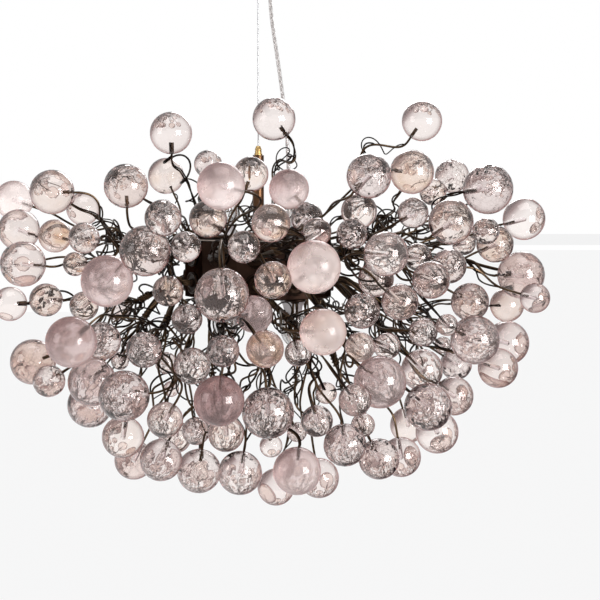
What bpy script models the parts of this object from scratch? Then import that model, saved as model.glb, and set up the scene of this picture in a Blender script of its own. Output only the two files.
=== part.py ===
"""Bubble chandelier: clear resin balls on bronze wires round a flat drum, hung from a ceiling fitting.

Metres, +Z up. The origin is the middle of the bracket's top face, where it meets the ceiling.
The crown hangs below it on one steel cable, with the flex beside the cable.
"""
import math
from itertools import product

import bmesh
import bpy
import numpy as np
from mathutils import Matrix, Vector

MM = 0.001

# Where the crown hangs, and how the photograph looks at it
CROWN_DROP = 325 * MM
PICTURE_PIXEL = 1.08 * MM
CROWN_RADIUS_PX = 274.0
CROWN_RADIUS = CROWN_RADIUS_PX * PICTURE_PIXEL
EYE_DISTANCE_PX = 1481.5
EYE_DISTANCE = EYE_DISTANCE_PX * PICTURE_PIXEL
EYE_RISE_DEGREES = 5.0
PICTURE_MIDDLE_PX = 300.0
AXIS_ACROSS_PX = 258.5
CROWN_ACROSS_PX = 268.0
CROWN_DOWN_PX = 240.0
RIM_SLACK = 60 * MM
BALL_GAP = 1.5 * MM
HUB_KEEP_OUT = 118 * MM

# How far along its line of sight each layer of balls lies, as a share of the way from the
# crown's middle to its outline: -1 is the near side, +1 the far side
FRONT_SHARE = -0.93
SECOND_SHARE = -0.58
MIDDLE_SHARE = -0.10
BEHIND_SHARE = 0.45
BACK_SHARE = 0.85
STRAY_SHARE = -0.12

# The balls as the picture shows them: pixels across, pixels down, pixels wide
FRONT_BALLS_PX = (
    (107, 281, 52), (145, 251, 51), (221, 186, 48), (314, 267, 54), (222, 295, 55), (323, 332, 47),
    (219, 401, 51), (268, 413, 52), (124, 396, 51), (380, 382, 53), (71, 342, 51), (273, 280, 38),
    (271, 223, 39), (244, 247, 33), (386, 254, 45), (451, 222, 45), (488, 189, 50), (400, 302, 37),
    (475, 340, 49), (428, 407, 48), (265, 349, 38), (223, 351, 33), (163, 218, 37), (126, 186, 44),
    (369, 176, 45), (431, 280, 38), (355, 400, 33), (345, 445, 43), (379, 459, 41), (297, 471, 48),
    (240, 473, 44), (161, 460, 42), (165, 420, 36), (362, 311, 36), (23, 264, 45), (144, 350, 36),
)
SECOND_BALLS_PX = (
    (289, 189, 40), (208, 219, 38), (186, 247, 31), (254, 314, 38), (298, 353, 27), (187, 319, 31),
    (168, 291, 31), (192, 366, 37), (92, 382, 48), (102, 341, 38), (226, 434, 36), (317, 421, 32),
    (422, 370, 42), (423, 332, 29), (387, 346, 27), (360, 347, 30), (376, 279, 36), (418, 257, 28),
    (449, 266, 35), (470, 302, 38), (521, 275, 47), (486, 231, 27), (413, 213, 31), (412, 172, 44),
    (359, 211, 36), (352, 234, 31), (307, 218, 32), (317, 232, 29), (52, 192, 44), (75, 264, 24),
    (134, 460, 39), (199, 471, 44), (33, 362, 45), (363, 425, 24), (84, 238, 31), (447, 325, 22),
    (251, 174, 35),
)
MIDDLE_BALLS_PX = (
    (524, 219, 42), (495, 244, 37), (507, 343, 44), (454, 396, 39), (437, 432, 43), (401, 457, 40),
    (319, 478, 40), (123, 437, 42), (90, 405, 45), (49, 381, 32), (46, 300, 33), (10, 304, 34),
    (19, 230, 41), (55, 236, 33), (196, 431, 28), (443, 345, 17), (120, 361, 18), (166, 363, 22),
    (84, 306, 29), (464, 243, 24), (535, 298, 30), (297, 432, 20),
)
BEHIND_BALLS_PX = (
    (83, 209, 33), (118, 307, 28), (208, 164, 28), (433, 192, 27), (271, 446, 23), (276, 487, 37),
    (171, 389, 16), (175, 437, 33), (326, 393, 22),
)
BACK_BALLS_PX = (
    (166, 176, 36), (452, 176, 34), (14, 200, 38), (507, 305, 34), (498, 368, 40), (456, 364, 32),
    (408, 425, 36),
)
STRAY_BALLS_PX = ((171, 133, 42), (274, 119, 43), (422, 121, 40))

# Ceiling fitting
CANOPY_RADIUS = 50 * MM
CANOPY_HEIGHT = 30 * MM
CANOPY_WALL = 1.5 * MM
CANOPY_EDGE_RADIUS = 6 * MM
BRACKET_CLEARANCE = 6.5 * MM
BRACKET_LENGTH = 2 * (CANOPY_RADIUS - CANOPY_WALL - BRACKET_CLEARANCE)
BRACKET_WIDTH = 20 * MM
BRACKET_THICKNESS = 2.5 * MM
BRACKET_HOLE_RADIUS = 2.6 * MM
BRACKET_HOLE_SPACING = 64 * MM
STUD_RADIUS = 4 * MM
STUD_LENGTH = 38 * MM
STUD_BORE_DEPTH = 24 * MM
CABLE_RADIUS = 0.75 * MM
BORE_CLEARANCE = 0.35 * MM
SEAT_GAP = 0.3 * MM
CANOPY_NUT_RADIUS = 7.2 * MM
CANOPY_NUT_HEIGHT = 9 * MM
CANOPY_NUT_CHAMFER = 1 * MM
THREAD_CLEARANCE = 0.3 * MM
TERMINAL_LENGTH = 26 * MM
TERMINAL_WIDTH = 16 * MM
TERMINAL_HEIGHT = 11 * MM
TERMINAL_OFFSET = 19 * MM
FLEX_RADIUS = 2 * MM
FLEX_OFFSET = 13 * MM
GLAND_WALL = 1.5 * MM
GLAND_LIP = 1.2 * MM
GLAND_STEM = 3 * MM

# Stem and hub
HUB_BELOW_CROWN = 29 * MM
HUB_SIDES = 12
HUB_APOTHEM = 78 * MM
HUB_HEIGHT = 60 * MM
HUB_WALL = 2 * MM
LID_THICKNESS = 2 * MM
STEM_RADIUS = 6 * MM
STEM_WALL = 1.6 * MM
STEM_ABOVE_LID = 88 * MM
STEM_BELOW_FLOOR = 7 * MM
STEM_NUT_RADIUS = 10 * MM
STEM_NUT_HEIGHT = 5 * MM
CAP_NUT_RADIUS = 10 * MM
CAP_NUT_HEIGHT = 13 * MM
CAP_NUT_ROOF = 3 * MM
GRIPPER_RADIUS = 3.6 * MM
GRIPPER_HEIGHT = 9.5 * MM
GRIPPER_NECK_RADIUS = 2.2 * MM
GRIPPER_SPIGOT_RADIUS = 3.9 * MM
GRIPPER_SPIGOT_LENGTH = 8 * MM
FLEX_ENTRY = (33 * MM, -8 * MM)
CONNECTOR_SIZE = (24 * MM, 14 * MM, 11 * MM)
CONNECTOR_PLACE = (-6 * MM, 34 * MM)

# Lamps
LAMP_CIRCLE = 43 * MM
UPPER_LAMP_DEGREES = (215, 35)
LOWER_LAMP_DEGREES = (-30, 150)
HOLDER_FLANGE_RADIUS = 14.5 * MM
HOLDER_FLANGE = 2.5 * MM
HOLDER_RADIUS = 11.5 * MM
HOLDER_DEPTH = 23 * MM
CAP_RADIUS = 7 * MM
CAP_LENGTH = 18 * MM
CAP_TIP_RADIUS = 3 * MM
CAP_FLOOR_GAP = 1 * MM
SINK_RADIUS = 14 * MM
SINK_NECK_RADIUS = 8.5 * MM
SINK_LENGTH = 15 * MM
BULB_RADIUS = 15 * MM
BULB_LENGTH = 36 * MM
BULB_TIP_RADIUS = 4 * MM
BULB_TRAVEL = 24 * MM
LAMP_CLEARANCE = 8 * MM

# Wires
WIRE_RADIUS = 1.4 * MM
STALK_RADIUS = 2.6 * MM
KNOT_RADIUS = 4.6 * MM
LEAD_SHARE = 1.7
WASHER_RADIUS = 10 * MM
WASHER_THICKNESS = 3 * MM
WASHER_SIDES = 8
WASHER_ROW_RISE = 14.5 * MM
WASHER_CIRCLE = 65 * MM
STALK_LEAD = 13 * MM
WIRE_GAP = 1.6 * MM
UNDER_SPRAY_COUNT = 8
UNDER_TILT_DEGREES = -52
KNOT_SHARE = 0.40
WIRE_BOW_SHARE = 0.09
LARGE_BALL_RADIUS = 21 * MM
SMALL_BALL_RADIUS = 13 * MM
STRAY_WASHER_DEGREES = (165, -75, -12)
CROWN_TURN_KEEP_OUT = 16 * MM

HUB_Z = -CROWN_DROP - HUB_BELOW_CROWN
HUB_TOP = HUB_HEIGHT / 2
HUB_FLOOR = -HUB_HEIGHT / 2
LID_TOP = HUB_TOP + SEAT_GAP + LID_THICKNESS
GOLDEN_ANGLE = math.pi * (3 - math.sqrt(5))
CANOPY_SIDES = 28
ROUND_SIDES = 16
SMALL_ROUND_SIDES = 12


def clear_scene():
    for obj in list(bpy.data.objects):
        bpy.data.objects.remove(obj)


def finish(name, colour, roughness, metallic=0.0, alpha=1.0):
    material = bpy.data.materials.new(name)
    material.use_nodes = True
    shader = material.node_tree.nodes["Principled BSDF"]
    shader.inputs["Base Color"].default_value = (*colour, 1.0)
    shader.inputs["Roughness"].default_value = roughness
    shader.inputs["Metallic"].default_value = metallic
    shader.inputs["Alpha"].default_value = alpha
    return material


def add_part(name, mesh_data, material, parent=None, place=None, smooth_degrees=40):
    """One sub-part from (vertices, faces), placed by its object's own transform."""
    mesh = bpy.data.meshes.new(name)
    mesh.from_pydata([tuple(v) for v in mesh_data[0]], [], mesh_data[1])
    mesh.validate()
    mesh.shade_smooth()
    mesh.set_sharp_from_angle(angle=math.radians(smooth_degrees))
    obj = bpy.data.objects.new(name, mesh)
    obj.data.materials.append(material)
    bpy.context.scene.collection.objects.link(obj)
    obj.parent = parent
    if place is not None:
        obj.matrix_local = place
    return obj


def add_empty(name, height):
    empty = bpy.data.objects.new(name, None)
    empty.location = (0, 0, height)
    bpy.context.scene.collection.objects.link(empty)
    return empty


def cut(obj, name, mesh_data, place=None, operation="DIFFERENCE"):
    """A guide solid and the Boolean that uses it."""
    guide = add_part(name, mesh_data, obj.data.materials[0], obj.parent)
    guide.matrix_local = obj.matrix_local @ (place or Matrix())
    guide.hide_render = True
    guide.display_type = "WIRE"
    step = obj.modifiers.new(name, "BOOLEAN")
    step.operation = operation
    step.solver = "EXACT"
    step.object = guide


def turned(profile, sides=ROUND_SIDES, closed=False):
    """Turns (radius, height) points about Z, with a flat towards +X. The profile runs from the bottom up the
    outer side; a closed one, for a ring, comes back down its bore. A point at radius zero is a pole."""
    rings, vertices, faces = [], [], []
    for radius, height in profile:
        if radius == 0:
            rings.append([len(vertices)] * sides)
            vertices.append((0.0, 0.0, height))
            continue
        rings.append(list(range(len(vertices), len(vertices) + sides)))
        for k in range(sides):
            angle = math.tau * (k + 0.5) / sides
            vertices.append((radius * math.cos(angle), radius * math.sin(angle), height))
    pairs = list(zip(rings, rings[1:]))
    if closed:
        pairs.append((rings[-1], rings[0]))
    for low, high in pairs:
        for k in range(sides):
            corners = (low[k], low[(k + 1) % sides], high[(k + 1) % sides], high[k])
            faces.append(tuple(dict.fromkeys(corners)))
    return vertices, faces


def tube(outer, inner, low, high, sides=ROUND_SIDES):
    return turned([(outer, low), (outer, high), (inner, high), (inner, low)], sides, closed=True)


def rod(radius, low, high, sides=ROUND_SIDES):
    return turned([(0, low), (radius, low), (radius, high), (0, high)], sides)


def block(size, centre):
    """A box from its size and its centre."""
    low = [c - s / 2 for c, s in zip(centre, size)]
    high = [c + s / 2 for c, s in zip(centre, size)]
    vertices = [(x, y, z) for z in (low[2], high[2]) for x, y in
                ((low[0], low[1]), (high[0], low[1]), (high[0], high[1]), (low[0], high[1]))]
    faces = [(3, 2, 1, 0), (4, 5, 6, 7), (0, 1, 5, 4), (1, 2, 6, 5), (2, 3, 7, 6), (3, 0, 4, 7)]
    return vertices, faces


def hub_prism(apothem, low, high):
    """A twelve-sided plate or plug with a flat facing +X."""
    return rod(apothem / math.cos(math.pi / HUB_SIDES), low, high, HUB_SIDES)


def on_circle(radius, degrees):
    angle = math.radians(degrees)
    return radius * math.cos(angle), radius * math.sin(angle)


# Places of the balls

def view_frame():
    """The eye, and the picture's right, up and forward directions, in the hub's own frame."""
    rise = math.radians(EYE_RISE_DEGREES)
    right = np.array([1.0, 0.0, 0.0])
    forward = np.array([0.0, math.cos(rise), -math.sin(rise)])
    up = np.array([0.0, math.sin(rise), math.cos(rise)])
    across = (CROWN_ACROSS_PX - AXIS_ACROSS_PX) * PICTURE_PIXEL
    middle = np.array([across, 0.0, HUB_BELOW_CROWN])
    eye = middle - EYE_DISTANCE * forward
    eye -= right * (CROWN_ACROSS_PX - PICTURE_MIDDLE_PX) * PICTURE_PIXEL
    eye -= up * (PICTURE_MIDDLE_PX - CROWN_DOWN_PX) * PICTURE_PIXEL
    return middle, eye, right, up, forward


def place_balls():
    """Centres and radii of all balls. Each ball stays on its own line of sight; the near ones have a twin
    of the same size on the far side, hidden behind them. Balls that touch slide apart along their lines."""
    middle, eye, right, up, forward = view_frame()
    layers = ((FRONT_BALLS_PX, FRONT_SHARE), (SECOND_BALLS_PX, SECOND_SHARE), (MIDDLE_BALLS_PX, MIDDLE_SHARE),
              (BEHIND_BALLS_PX, BEHIND_SHARE), (BACK_BALLS_PX, BACK_SHARE), (STRAY_BALLS_PX, STRAY_SHARE),
              (FRONT_BALLS_PX, -FRONT_SHARE), (SECOND_BALLS_PX, -SECOND_SHARE))
    seen = np.array([(*ball, share, k >= 6) for k, (balls, share) in enumerate(layers) for ball in balls])
    rays = (forward + np.outer((seen[:, 0] - PICTURE_MIDDLE_PX) / EYE_DISTANCE_PX, right)
            + np.outer((PICTURE_MIDDLE_PX - seen[:, 1]) / EYE_DISTANCE_PX, up))
    rays /= np.linalg.norm(rays, axis=1)[:, None]
    nearest = rays @ (middle - eye)
    aside = np.linalg.norm(eye + rays * nearest[:, None] - middle, axis=1)
    reach = CROWN_RADIUS - seen[:, 2] / 2 * PICTURE_PIXEL
    half = np.sqrt(np.maximum(reach ** 2 - aside ** 2, 0))
    along = nearest + seen[:, 3] * half
    twin = seen[:, 4] > 0
    near = along.copy()
    near[twin] = (nearest - seen[:, 3] * half)[twin]
    radii = seen[:, 2] / 2 * PICTURE_PIXEL * near / EYE_DISTANCE
    low = nearest - np.maximum(half, RIM_SLACK)
    high = nearest + np.maximum(half, RIM_SLACK)
    for step in range(400):
        places = eye + rays * along[:, None]
        if step < 80:
            radii[~twin] = (seen[:, 2] / 2 * PICTURE_PIXEL * along / EYE_DISTANCE)[~twin]
        apart = places[:, None] - places[None]
        depth = along[:, None] - along[None]
        depth += np.sign(np.arange(len(along))[:, None] - np.arange(len(along))[None]) * BALL_GAP * (depth == 0)
        aside = np.maximum((apart ** 2).sum(2) - depth ** 2, 0)
        need = radii[:, None] + radii[None] + BALL_GAP
        short = np.sqrt(np.maximum(need ** 2 - aside, 0)) - np.abs(depth)
        np.fill_diagonal(short, 0)
        push = (np.sign(depth) * np.maximum(short, 0)).sum(1) / 2
        from_hub = np.linalg.norm(places, axis=1)
        push += np.sign(along - nearest) * np.maximum(HUB_KEEP_OUT + radii - from_hub, 0)
        if not np.abs(push).any():
            break
        along = np.clip(along + 0.6 * np.clip(push, -BALL_GAP * 6, BALL_GAP * 6), low, high)
    places = eye + rays * along[:, None]
    keep = np.ones(len(along), bool)
    for j in np.flatnonzero(twin):
        away = np.linalg.norm(places - places[j], axis=1) - radii - radii[j]
        away[j] = BALL_GAP
        keep[j] = not (away[keep] < BALL_GAP / 2).any()
    stray = np.zeros(len(along), bool)
    first = sum(len(balls) for balls, _ in layers[:5])
    stray[first:first + len(STRAY_BALLS_PX)] = True
    return places[keep], radii[keep], stray[keep]


# Which ball hangs on which wires, and where those are screwed to the hub

def facet_foot(facet, height):
    normal = np.array([*on_circle(1.0, facet * 360 / HUB_SIDES), 0.0])
    return normal * (HUB_APOTHEM + SEAT_GAP) + np.array([0, 0, height]), normal


def share_out(places, stray):
    """Sprays as (name, foot, outward normal, numbers of its balls): two rows round the drum, one ring under
    its floor, and one sprig on the lid for each ball that stands up alone."""
    rise = np.degrees(np.arctan2(places[:, 2], np.hypot(places[:, 0], places[:, 1])))
    turn = np.degrees(np.arctan2(places[:, 1], places[:, 0]))
    sprays = []
    for number, (ball, degrees) in enumerate(zip(np.flatnonzero(stray), STRAY_WASHER_DEGREES), 1):
        foot = np.array([*on_circle(WASHER_CIRCLE, degrees), LID_TOP + SEAT_GAP])
        sprays.append((f"sprig_{number}", foot, np.array([0.0, 0.0, 1.0]), [ball]))
    under = np.flatnonzero((rise < UNDER_TILT_DEGREES) & ~stray)
    first_degrees = LOWER_LAMP_DEGREES[0] + 180 / UNDER_SPRAY_COUNT
    under = under[np.argsort((turn[under] - first_degrees + 180 / UNDER_SPRAY_COUNT) % 360)]
    for number, balls in enumerate(np.array_split(under, UNDER_SPRAY_COUNT), 1):
        degrees = first_degrees + (number - 1) * 360 / UNDER_SPRAY_COUNT
        foot = np.array([*on_circle(WASHER_CIRCLE, degrees), HUB_FLOOR - SEAT_GAP])
        sprays.append((f"spray_under_{number}", foot, np.array([0.0, 0.0, -1.0]), list(balls)))
    around = np.flatnonzero((rise >= UNDER_TILT_DEGREES) & ~stray)
    around = around[np.argsort((turn[around] + 180 / HUB_SIDES) % 360)]
    for facet, balls in enumerate(np.array_split(around, HUB_SIDES)):
        balls = balls[np.argsort(-rise[balls])]
        for row, height, half in (("upper", WASHER_ROW_RISE, balls[:(len(balls) + 1) // 2]),
                                  ("lower", -WASHER_ROW_RISE, balls[(len(balls) + 1) // 2:])):
            foot, normal = facet_foot(facet, height)
            sprays.append((f"spray_{row}_{facet + 1:02d}", foot, normal, list(half)))
    return sprays


# Routes of the wires

def nearest_on_segments(start, end, point):
    """The share along each segment that lies nearest to each point."""
    line = end - start
    return np.clip(((point - start) * line).sum(-1) / np.maximum((line ** 2).sum(-1), 1e-12), 0, 1)


def nearest_between(a, b, c, d):
    """The shares along segments ab and cd where the two come nearest."""
    u, v, w = b - a, d - c, a - c
    uu, uv, vv = (u * u).sum(-1), (u * v).sum(-1), (v * v).sum(-1)
    uw, vw = (u * w).sum(-1), (v * w).sum(-1)
    s = np.clip((uv * vw - vv * uw) / np.maximum(uu * vv - uv ** 2, 1e-14), 0, 1)
    t = np.clip((uv * s + vw) / np.maximum(vv, 1e-14), 0, 1)
    s = np.clip((uv * t - uw) / np.maximum(uu, 1e-14), 0, 1)
    return s, t


def keep_outs():
    """Rods that no wire may enter: lamps with their way out, stem, cable and flex, and the drum as flat rods."""
    top = LID_TOP + HOLDER_FLANGE + SINK_LENGTH + BULB_LENGTH + BULB_TRAVEL
    rods = []
    for degrees in UPPER_LAMP_DEGREES:
        x, y = on_circle(LAMP_CIRCLE, degrees)
        rods.append(((x, y, 0), (x, y, top), BULB_RADIUS + LAMP_CLEARANCE))
    for degrees in LOWER_LAMP_DEGREES:
        x, y = on_circle(LAMP_CIRCLE, degrees)
        rods.append(((x, y, 0), (x, y, -top), BULB_RADIUS + LAMP_CLEARANCE))
    rods.append(((0, 0, -HUB_HEIGHT), (0, 0, CROWN_DROP), STEM_RADIUS + LAMP_CLEARANCE))
    rods.append(((*FLEX_ENTRY, 0), (FLEX_OFFSET, 0, CROWN_DROP), CROWN_TURN_KEEP_OUT))
    return [(np.array(a, float), np.array(b, float), r) for a, b, r in rods]


def route(places, radii, sprays):
    """Every wire's points. Wires start as bowed lines from a spray's knot to its balls, and are then pushed
    clear of all balls, of each other and of the hub, and smoothed, until they run free."""
    points, fixed, wires = [], [], []
    for number, (name, foot, normal, balls) in enumerate(sprays):
        face = foot + normal * WASHER_THICKNESS
        lead = face + normal * STALK_LEAD
        middle = places[balls].mean(0)
        knot = lead + (middle - lead) * KNOT_SHARE
        base = len(points)
        points += [face, lead, (lead + knot) / 2 + normal * STALK_LEAD / 3, knot]
        fixed += [True, True, False, False]
        wires.append((number, -1, list(range(base, base + 4)), STALK_RADIUS))
        for ball in balls:
            towards = knot - places[ball]
            end = places[ball] + towards / np.linalg.norm(towards) * radii[ball]
            side = np.cross(end - knot, [math.cos(GOLDEN_ANGLE * ball), math.sin(GOLDEN_ANGLE * ball), 0.3])
            bow = side / np.linalg.norm(side) * np.linalg.norm(end - knot) * WIRE_BOW_SHARE
            first = len(points)
            points += [knot + (end - knot) * share + bow * math.sin(math.tau * share) for share in (0.3, 0.66)]
            points.append(end)
            fixed += [False, False, True]
            wires.append((number, ball, [base + 3, first, first + 1, first + 2], WIRE_RADIUS))
    points = np.array(points)
    free = ~np.array(fixed)
    seg = np.array([(i, j) for _, _, chain, _ in wires for i, j in zip(chain, chain[1:])])
    seg_wire = np.array([k for k, (_, _, chain, _) in enumerate(wires) for _ in chain[1:]])
    seg_spray = np.array([wires[k][0] for k in seg_wire])
    seg_radius = np.array([wires[k][3] for k in seg_wire])
    own_ball = np.array([wires[k][1] for k in seg_wire])
    last = np.array([n == len(chain) - 2 for _, _, chain, _ in wires for n in range(len(chain) - 1)])
    joints = np.array([(chain[n - 1], chain[n], chain[n + 1]) for _, _, chain, _ in wires
                       for n in range(1, len(chain) - 1)])
    ends = np.array([(chain[-2], chain[-1], ball) for _, ball, chain, _ in wires if ball >= 0])
    rods = keep_outs()
    for step in range(260):
        if step % 10 == 0:
            start, end = points[seg[:, 0]], points[seg[:, 1]]
            mids, halves = (start + end) / 2, np.linalg.norm(end - start, axis=1) / 2
            close = np.linalg.norm(mids[:, None] - places[None], axis=2) < (
                halves[:, None] + radii[None] + 8 * WIRE_GAP)
            close[np.arange(len(seg))[last], own_ball[last]] &= own_ball[last] < 0
            sb_s, sb_b = np.nonzero(close)
            near = np.linalg.norm(mids[:, None] - mids[None], axis=2) < halves[:, None] + halves[None] + 8 * WIRE_GAP
            near &= np.arange(len(seg))[:, None] < np.arange(len(seg))[None]
            touching = (seg[:, None, :, None] == seg[None, :, None, :]).any((2, 3))
            ss_a, ss_b = np.nonzero(near & ~touching)
        move, weight = np.zeros_like(points), np.full(len(points), 1e-9)

        def push(which, share, offset):
            for end, amount in ((0, 1 - share), (1, share)):
                np.add.at(move, seg[which, end], offset * amount[:, None])
                np.add.at(weight, seg[which, end], amount * (np.abs(offset).sum(1) > 0))

        a, b, c = points[seg[sb_s, 0]], points[seg[sb_s, 1]], places[sb_b]
        share = nearest_on_segments(a, b, c)
        away = a + (b - a) * share[:, None] - c
        dist = np.maximum(np.linalg.norm(away, axis=1), 1e-6)
        short = np.maximum(radii[sb_b] + seg_radius[sb_s] + WIRE_GAP - dist, 0)
        push(sb_s, share, away / dist[:, None] * short[:, None] * 1.3)
        a, b, c, d = points[seg[ss_a, 0]], points[seg[ss_a, 1]], points[seg[ss_b, 0]], points[seg[ss_b, 1]]
        s, t = nearest_between(a, b, c, d)
        away = a + (b - a) * s[:, None] - c - (d - c) * t[:, None]
        dist = np.maximum(np.linalg.norm(away, axis=1), 1e-6)
        short = np.maximum(seg_radius[ss_a] + seg_radius[ss_b] + WIRE_GAP - dist, 0)
        offset = away / dist[:, None] * short[:, None] * 0.7
        push(ss_a, s, offset)
        push(ss_b, t, -offset)
        for low, high, radius in rods:
            a, b = points[seg[:, 0]], points[seg[:, 1]]
            s, t = nearest_between(a, b, low[None], high[None])
            away = a + (b - a) * s[:, None] - low - (high - low) * t[:, None]
            dist = np.maximum(np.linalg.norm(away, axis=1), 1e-6)
            short = np.maximum(radius + seg_radius - dist, 0)
            push(np.arange(len(seg)), s, away / dist[:, None] * short[:, None])
        flat = np.hypot(points[:, 0], points[:, 1])
        inside = (flat < HUB_APOTHEM + STALK_LEAD) & (np.abs(points[:, 2]) < LID_TOP + STALK_LEAD) & free
        out_side = HUB_APOTHEM + STALK_LEAD - flat
        out_top = LID_TOP + STALK_LEAD - np.abs(points[:, 2])
        sideways = inside & (out_side < out_top)
        upwards = inside & ~sideways
        move[sideways, :2] += (points[sideways, :2] / flat[sideways, None]) * out_side[sideways, None]
        move[upwards, 2] += np.sign(points[upwards, 2]) * out_top[upwards]
        points[free] += (move / np.maximum(weight, 1)[:, None])[free]
        if step < 200:
            pull = (points[joints[:, 0]] + points[joints[:, 2]]) / 2 - points[joints[:, 1]]
            smooth = np.zeros_like(points)
            np.add.at(smooth, joints[:, 1], pull * 0.08)
            points[free] += smooth[free]
        outward = points[ends[:, 0]] - places[ends[:, 2]]
        outward /= np.linalg.norm(outward, axis=1)[:, None]
        points[ends[:, 1]] = places[ends[:, 2]] + outward * radii[ends[:, 2], None]
    return points, wires


# Meshes of wires and balls

def knot_shape():
    """A regular twenty-sided solid of unit radius."""
    shape = bmesh.new()
    bmesh.ops.create_icosphere(shape, subdivisions=1, radius=1)
    vertices = np.array([v.co[:] for v in shape.verts])
    faces = [tuple(v.index for v in face.verts) for face in shape.faces]
    shape.free()
    return vertices, faces


def unit(vector):
    return vector / max(np.linalg.norm(vector), 1e-9)


def ring_round(centre, travel, side, radius, sides):
    """Corners of a ring about the travel direction, the first one towards side."""
    u = unit(side - travel * (side @ travel))
    w = np.cross(travel, u)
    angles = math.tau * np.arange(sides) / sides
    return centre + radius * (np.outer(np.cos(angles), u) + np.outer(np.sin(angles), w))


class Spray:
    """One closed body: a knot whose triangles grow into wires, which swell into balls or a washer."""

    def __init__(self):
        self.vertices, self.faces = [], []

    def add(self, corners):
        first = len(self.vertices)
        self.vertices += list(corners)
        return list(range(first, first + len(corners)))

    def band(self, low, high):
        """Joins two rings that start at the same side, whatever their numbers of corners."""
        i = j = 0
        while i < len(low) or j < len(high):
            if (i + 0.5) / len(low) <= (j + 0.5) / len(high) and i < len(low):
                self.faces.append((low[i], low[(i + 1) % len(low)], high[j % len(high)]))
                i += 1
            else:
                self.faces.append((low[i % len(low)], high[(j + 1) % len(high)], high[j]))
                j += 1

    def wire(self, face, points, radius):
        """A three-sided wire from a triangle of the knot along points. Gives its last ring and its side."""
        corners = np.array([self.vertices[n] for n in face])
        side = corners[0] - corners.mean(0)
        ring = list(face)
        for k, point in enumerate(points):
            before = points[k - 1] if k else corners.mean(0)
            after = points[k + 1] if k + 1 < len(points) else point
            travel = unit(unit(point - before) + (unit(after - point) if k + 1 < len(points) else 0))
            corners_here = ring_round(point, travel, side, radius, 3)
            side = corners_here[0] - point
            new = self.add(corners_here)
            self.band(ring, new)
            ring = new
        return ring, side

    def ball(self, ring, side, centre, radius):
        travel = unit(centre - np.mean([self.vertices[n] for n in ring], axis=0))
        rings = 4 if radius > LARGE_BALL_RADIUS else 3
        sides = 6 if radius < SMALL_BALL_RADIUS else 8
        for k in range(1, rings + 1):
            angle = math.pi * k / (rings + 1)
            height = centre - travel * radius * math.cos(angle)
            new = self.add(ring_round(height, travel, side, radius * math.sin(angle), sides))
            self.band(ring, new)
            ring = new
        pole, = self.add([centre + travel * radius])
        self.faces += [(ring[k], ring[(k + 1) % sides], pole) for k in range(sides)]

    def washer(self, ring, side, foot, normal):
        top = self.add(ring_round(foot + normal * WASHER_THICKNESS, -normal, side, WASHER_RADIUS, WASHER_SIDES))
        self.band(ring, top)
        base = self.add(ring_round(foot, -normal, side, WASHER_RADIUS, WASHER_SIDES))
        self.band(top, base)
        self.faces.append(tuple(base))


def choose_faces(knot, centres, leads, routes):
    """One triangle of the knot for each wire, so that they leave it in about their own directions and
    without crossing. The stalk has the first triangle."""
    towards = np.array([unit(points[0] - knot) for points in routes])
    fit = towards @ centres[1:].T
    options = np.argsort(-fit, axis=1)[:, :5] + 1
    best, chosen = None, None
    for pick in product(range(options.shape[1]), repeat=len(routes)):
        faces = options[np.arange(len(routes)), pick]
        if len(set(faces)) < len(faces):
            continue
        cost = (1 - fit[np.arange(len(routes)), faces - 1]).sum()
        if best is not None and cost >= best:
            continue
        starts = leads[faces]
        ends = np.array([points[0] for points in routes])
        i, j = np.triu_indices(len(routes), 1)
        s, t = nearest_between(starts[i], ends[i], starts[j], ends[j])
        apart = starts[i] + (ends - starts)[i] * s[:, None] - starts[j] - (ends - starts)[j] * t[:, None]
        tight = np.maximum(WIRE_RADIUS * 2 + SEAT_GAP - np.linalg.norm(apart, axis=1), 0).sum()
        cost += tight / SEAT_GAP
        if best is None or cost < best:
            best, chosen = cost, [int(face) for face in faces]
    return chosen


def spray_mesh(foot, normal, stalk, branches):
    """stalk runs from the washer to the knot; branches are (points from the knot, ball centre, radius)."""
    body = Spray()
    knot = stalk[-1]
    shape, triangles = knot_shape()
    centres = np.array([shape[list(face)].mean(0) for face in triangles])
    centres /= np.linalg.norm(centres, axis=1)[:, None]
    back = unit(stalk[-2] - knot)
    turn = np.array(Vector(centres[0]).rotation_difference(Vector(back)).to_matrix())
    body.add(knot + (shape @ turn.T) * KNOT_RADIUS)
    centres = centres @ turn.T
    leads = knot + centres * KNOT_RADIUS * LEAD_SHARE
    chosen = choose_faces(knot, centres, leads, [points for points, _, _ in branches])
    body.faces += [face for n, face in enumerate(triangles) if n and n not in chosen]
    ring, side = body.wire(triangles[0], [leads[0], *stalk[-2:0:-1], stalk[0]], STALK_RADIUS)
    body.washer(ring, side, foot, normal)
    for face, (points, centre, radius) in zip(chosen, branches):
        ring, side = body.wire(triangles[face], [leads[face], *points], WIRE_RADIUS)
        body.ball(ring, side, centre, radius)
    return body.vertices, body.faces


# Ceiling fitting

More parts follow.
